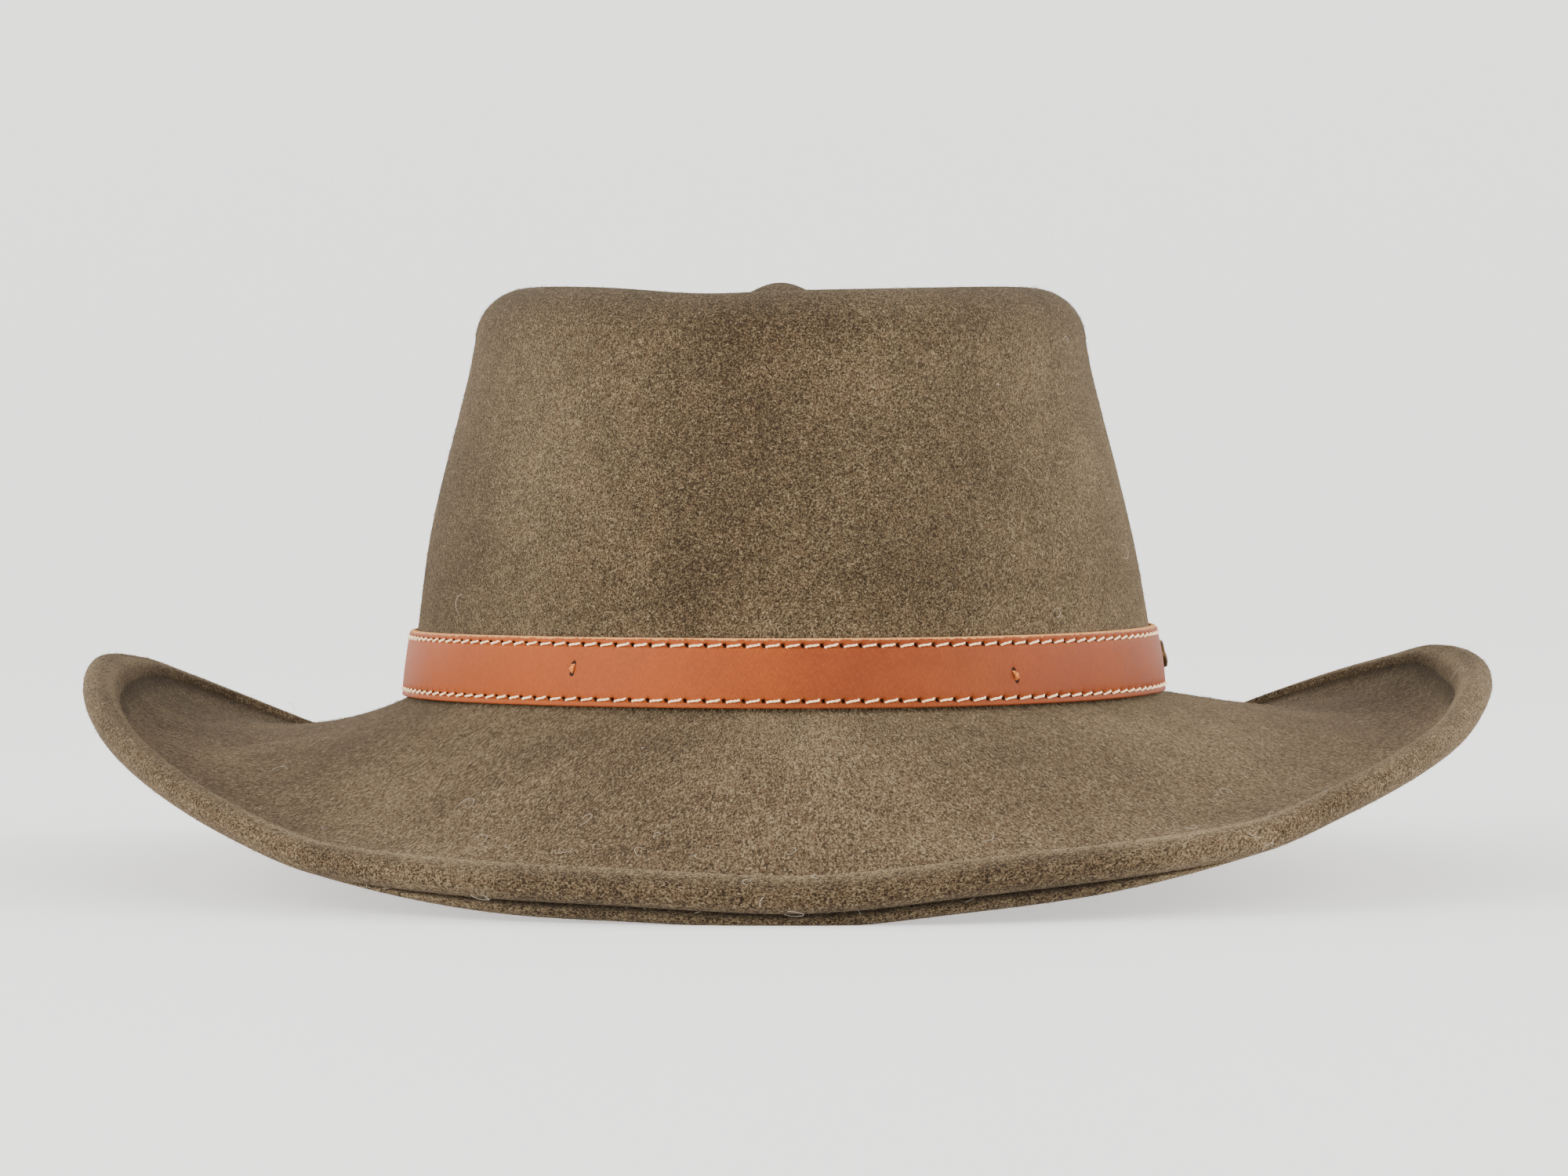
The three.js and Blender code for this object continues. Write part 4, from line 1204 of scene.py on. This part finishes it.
class HAT_OT_stud(bpy.types.Operator):
    """Builds the small metal stud on the band at the wearer's left"""
    bl_idname = "hat.stud"
    bl_label = "Side stud"
    sides = 64
    # Rings from the middle out over the front, then down the side and in under it
    front_shares = (*np.linspace(0, 0.86, 22)[1:], 0.9, 0.93, 0.96, 0.98, 0.995, 1.0)
    under_rings = ({"share": 1.0, "lift": 0.12}, {"share": 0.9, "lift": 0.0})
    # The stud stands this far off the leather. Its front is a plate with a rounded edge and a groove,
    # placed by shares of the way out, and its boss is a low dome under the middle
    stand_off = 0.15
    plate = {"height": 0.72, "edge": 0.9}
    groove = {"depth": 0.1, "at": 0.8, "width": 0.05}
    boss = {"below": 1.3, "radius": 2.0, "height": 0.55}

    def execute(self, context):
        band = Band(Outline(context.scene.hat_sizes), context.scene.hat_band)
        at_side = np.argmin(np.abs(band.middle[:, 1]) + (band.middle[:, 0] < 0) * 1e6)
        here, along, up, out = band.frame_at(band.runs[at_side], band.stud_above)
        rings = [(share, None) for share in self.front_shares]
        rings += [(ring["share"], ring["lift"]) for ring in self.under_rings]
        points, rubbed = [], []
        for share, fixed in rings:
            for k in range(self.sides):
                turn = 2 * math.pi * k / self.sides
                x = band.stud_width / 2 * share * math.cos(turn)
                y = band.stud_height / 2 * share * math.sin(turn)
                lift = self.stand_off + (self.height(share, x, y) if fixed is None else fixed)
                points.append(here + along * x + up * y + out * lift)
                rubbed.append(1 if fixed is None and (share > 0.88 or lift > 1.1) else 0)
        # Turned round, so that the faces look out
        faces = [(a, d, c, b) for a, b, c, d in grid_faces(len(rings), self.sides, False, True)]
        points.append(here + out * (self.stand_off + self.height(0, 0, 0)))
        points.append(here + out * self.stand_off)
        last = len(rings) * self.sides
        for k in range(self.sides):
            n = (k + 1) % self.sides
            faces.append((last, k, n))
            faces.append((last + 1, last - self.sides + n, last - self.sides + k))
        piece = add_piece("band_stud", points, faces, metal_finish(context.scene.hat_colours),
                          ["side_pin"])
        set_values(piece, "rubbed", rubbed + [0, 0])
        return {"FINISHED"}

    def height(self, share, x, y):
        """How far the stud's front stands out."""
        past_edge = max(0, share - self.plate["edge"]) / (1 - self.plate["edge"])
        from_groove = (share - self.groove["at"]) / self.groove["width"]
        from_boss = math.hypot(x, y + self.boss["below"]) / self.boss["radius"]
        return (self.plate["height"] * math.sqrt(max(0, 1 - past_edge ** 2))
                - self.groove["depth"] * math.exp(-(from_groove ** 2))
                + self.boss["height"] * math.sqrt(max(0, 1 - from_boss ** 2)))


def floor_finish(colours):
    """A pale studio floor that glows a little."""
    finish = Finish("pale_floor", Roughness=0.8, Emission_Strength=0.7)
    finish.shader.inputs["Base Color"].default_value = (*colours.floor, 1)
    finish.shader.inputs["Emission Color"].default_value = (1, 1, 1, 1)
    # Seen from below, the floor is clear, so that it doesn't hide the hat's underside
    seen = finish.node("ShaderNodeMixShader", {}, {
        0: finish.node("ShaderNodeNewGeometry", output="Backfacing"),
        1: Wire(finish, finish.shader.outputs["BSDF"]),
        2: finish.node("ShaderNodeBsdfTransparent")})
    finish.tree.links.new(seen.socket, finish.tree.nodes["Material Output"].inputs["Surface"])
    return finish.material


class HAT_OT_stage(bpy.types.Operator):
    """Sets the studio floor, its lights and the camera"""
    bl_idname = "hat.stage"
    bl_label = "Studio"
    # Metres. The camera stands before the hat, a little over the band's height, and looks level
    camera_place = (-0.0009, -1.3, 0.0898)
    camera_lens = 126.36
    camera_shift = -0.065
    # The floor is flat to this radius, then curves up into a wall all round
    flat_radius, curve_radius, wall_top = 3.0, 1.5, 5.0
    lights = (
        {"name": "left_light", "place": (-1.9, -1.2, 0.9), "target": (0, 0, 0.06), "size": (1.2, 1.3),
         "power": 35},
        {"name": "right_light", "place": (2.2, 0.1, 0.9), "target": (0, 0, 0.06), "size": (1.2, 1.3),
         "power": 30},
        {"name": "top_light", "place": (0, -0.3, 2.4), "target": (0, 0, 0), "size": (2.0, 2.0), "power": 6},
    )
    sky_strength = 0.15

    def execute(self, context):
        scene = context.scene
        camera = bpy.data.objects.new("Camera", bpy.data.cameras.new("Camera"))
        camera.data.lens = self.camera_lens
        camera.data.sensor_width = 36
        camera.data.shift_y = self.camera_shift
        camera.location = self.camera_place
        camera.rotation_euler = (math.pi / 2, 0, 0)
        scene.collection.objects.link(camera)
        scene.camera = camera
        self.add_floor(scene)
        for light in self.lights:
            self.add_light(scene, light)
        scene.world = bpy.data.worlds.new("studio")
        scene.world.use_nodes = True
        sky = scene.world.node_tree.nodes["Background"]
        sky.inputs["Color"].default_value = (1, 1, 1, 1)
        sky.inputs["Strength"].default_value = self.sky_strength
        return {"FINISHED"}

    def add_floor(self, scene):
        """A dish of many sides, its faces looking in."""
        flat, curve = self.flat_radius, self.curve_radius
        profile = [(0.0, 0.0), (0.6, 0.0), (flat, 0.0)]
        for turn in np.radians(np.arange(1, 13) * 7.5):
            profile.append((flat + curve * math.sin(turn), curve - curve * math.cos(turn)))
        profile.append((flat + curve, self.wall_top))
        sides = 96
        points = [(r * math.cos(2 * math.pi * k / sides), r * math.sin(2 * math.pi * k / sides), z)
                  for k in range(sides) for r, z in profile]
        mesh = bpy.data.meshes.new("studio_floor")
        mesh.from_pydata(points, [], grid_faces(sides, len(profile)))
        mesh.validate()
        mesh.polygons.foreach_set("use_smooth", [True] * len(mesh.polygons))
        mesh.materials.append(floor_finish(scene.hat_colours))
        floor = bpy.data.objects.new("studio_floor", mesh)
        scene.collection.objects.link(floor)

    @staticmethod
    def add_light(scene, light):
        """A rectangular lamp, turned to its target."""
        lamp = bpy.data.objects.new(light["name"], bpy.data.lights.new(light["name"], "AREA"))
        lamp.data.shape = "RECTANGLE"
        lamp.data.size, lamp.data.size_y = light["size"]
        lamp.data.energy = light["power"]
        lamp.location = light["place"]
        aim = Vector(light["target"]) - Vector(light["place"])
        lamp.rotation_euler = aim.to_track_quat("-Z", "Y").to_euler()
        scene.collection.objects.link(lamp)


class HAT_PT_panel(bpy.types.Panel):
    """Lists the hat's pieces in the sidebar"""
    bl_idname = "HAT_PT_panel"
    bl_label = "Gambler hat"
    bl_space_type = "VIEW_3D"
    bl_region_type = "UI"
    bl_category = "Hat"

    def draw(self, context):
        for operator in OPERATORS:
            self.layout.operator(operator.bl_idname)
        scene = context.scene
        for group in (scene.hat_sizes, scene.hat_band, scene.hat_fibres, scene.hat_colours):
            column = self.layout.column()
            for name in group.__annotations__:
                column.prop(group, name)


OPERATORS = (HAT_OT_stage, HAT_OT_felt, HAT_OT_fibres, HAT_OT_band, HAT_OT_stitches, HAT_OT_stud)
GROUPS = (HatSizes, BandSizes, FibreSizes, HatColours)


def register():
    for kind in (*GROUPS, *OPERATORS, HAT_PT_panel):
        bpy.utils.register_class(kind)
    bpy.types.Scene.hat_sizes = PointerProperty(type=HatSizes)
    bpy.types.Scene.hat_band = PointerProperty(type=BandSizes)
    bpy.types.Scene.hat_fibres = PointerProperty(type=FibreSizes)
    bpy.types.Scene.hat_colours = PointerProperty(type=HatColours)


def unregister():
    for name in ("hat_sizes", "hat_band", "hat_fibres", "hat_colours"):
        delattr(bpy.types.Scene, name)
    for kind in reversed((*GROUPS, *OPERATORS, HAT_PT_panel)):
        bpy.utils.unregister_class(kind)


def main():
    register()
    bpy.ops.hat.stage()
    bpy.ops.hat.felt()
    bpy.ops.hat.fibres()
    bpy.ops.hat.band()
    bpy.ops.hat.stitches()
    bpy.ops.hat.stud()


if __name__ == "__main__":
    main()
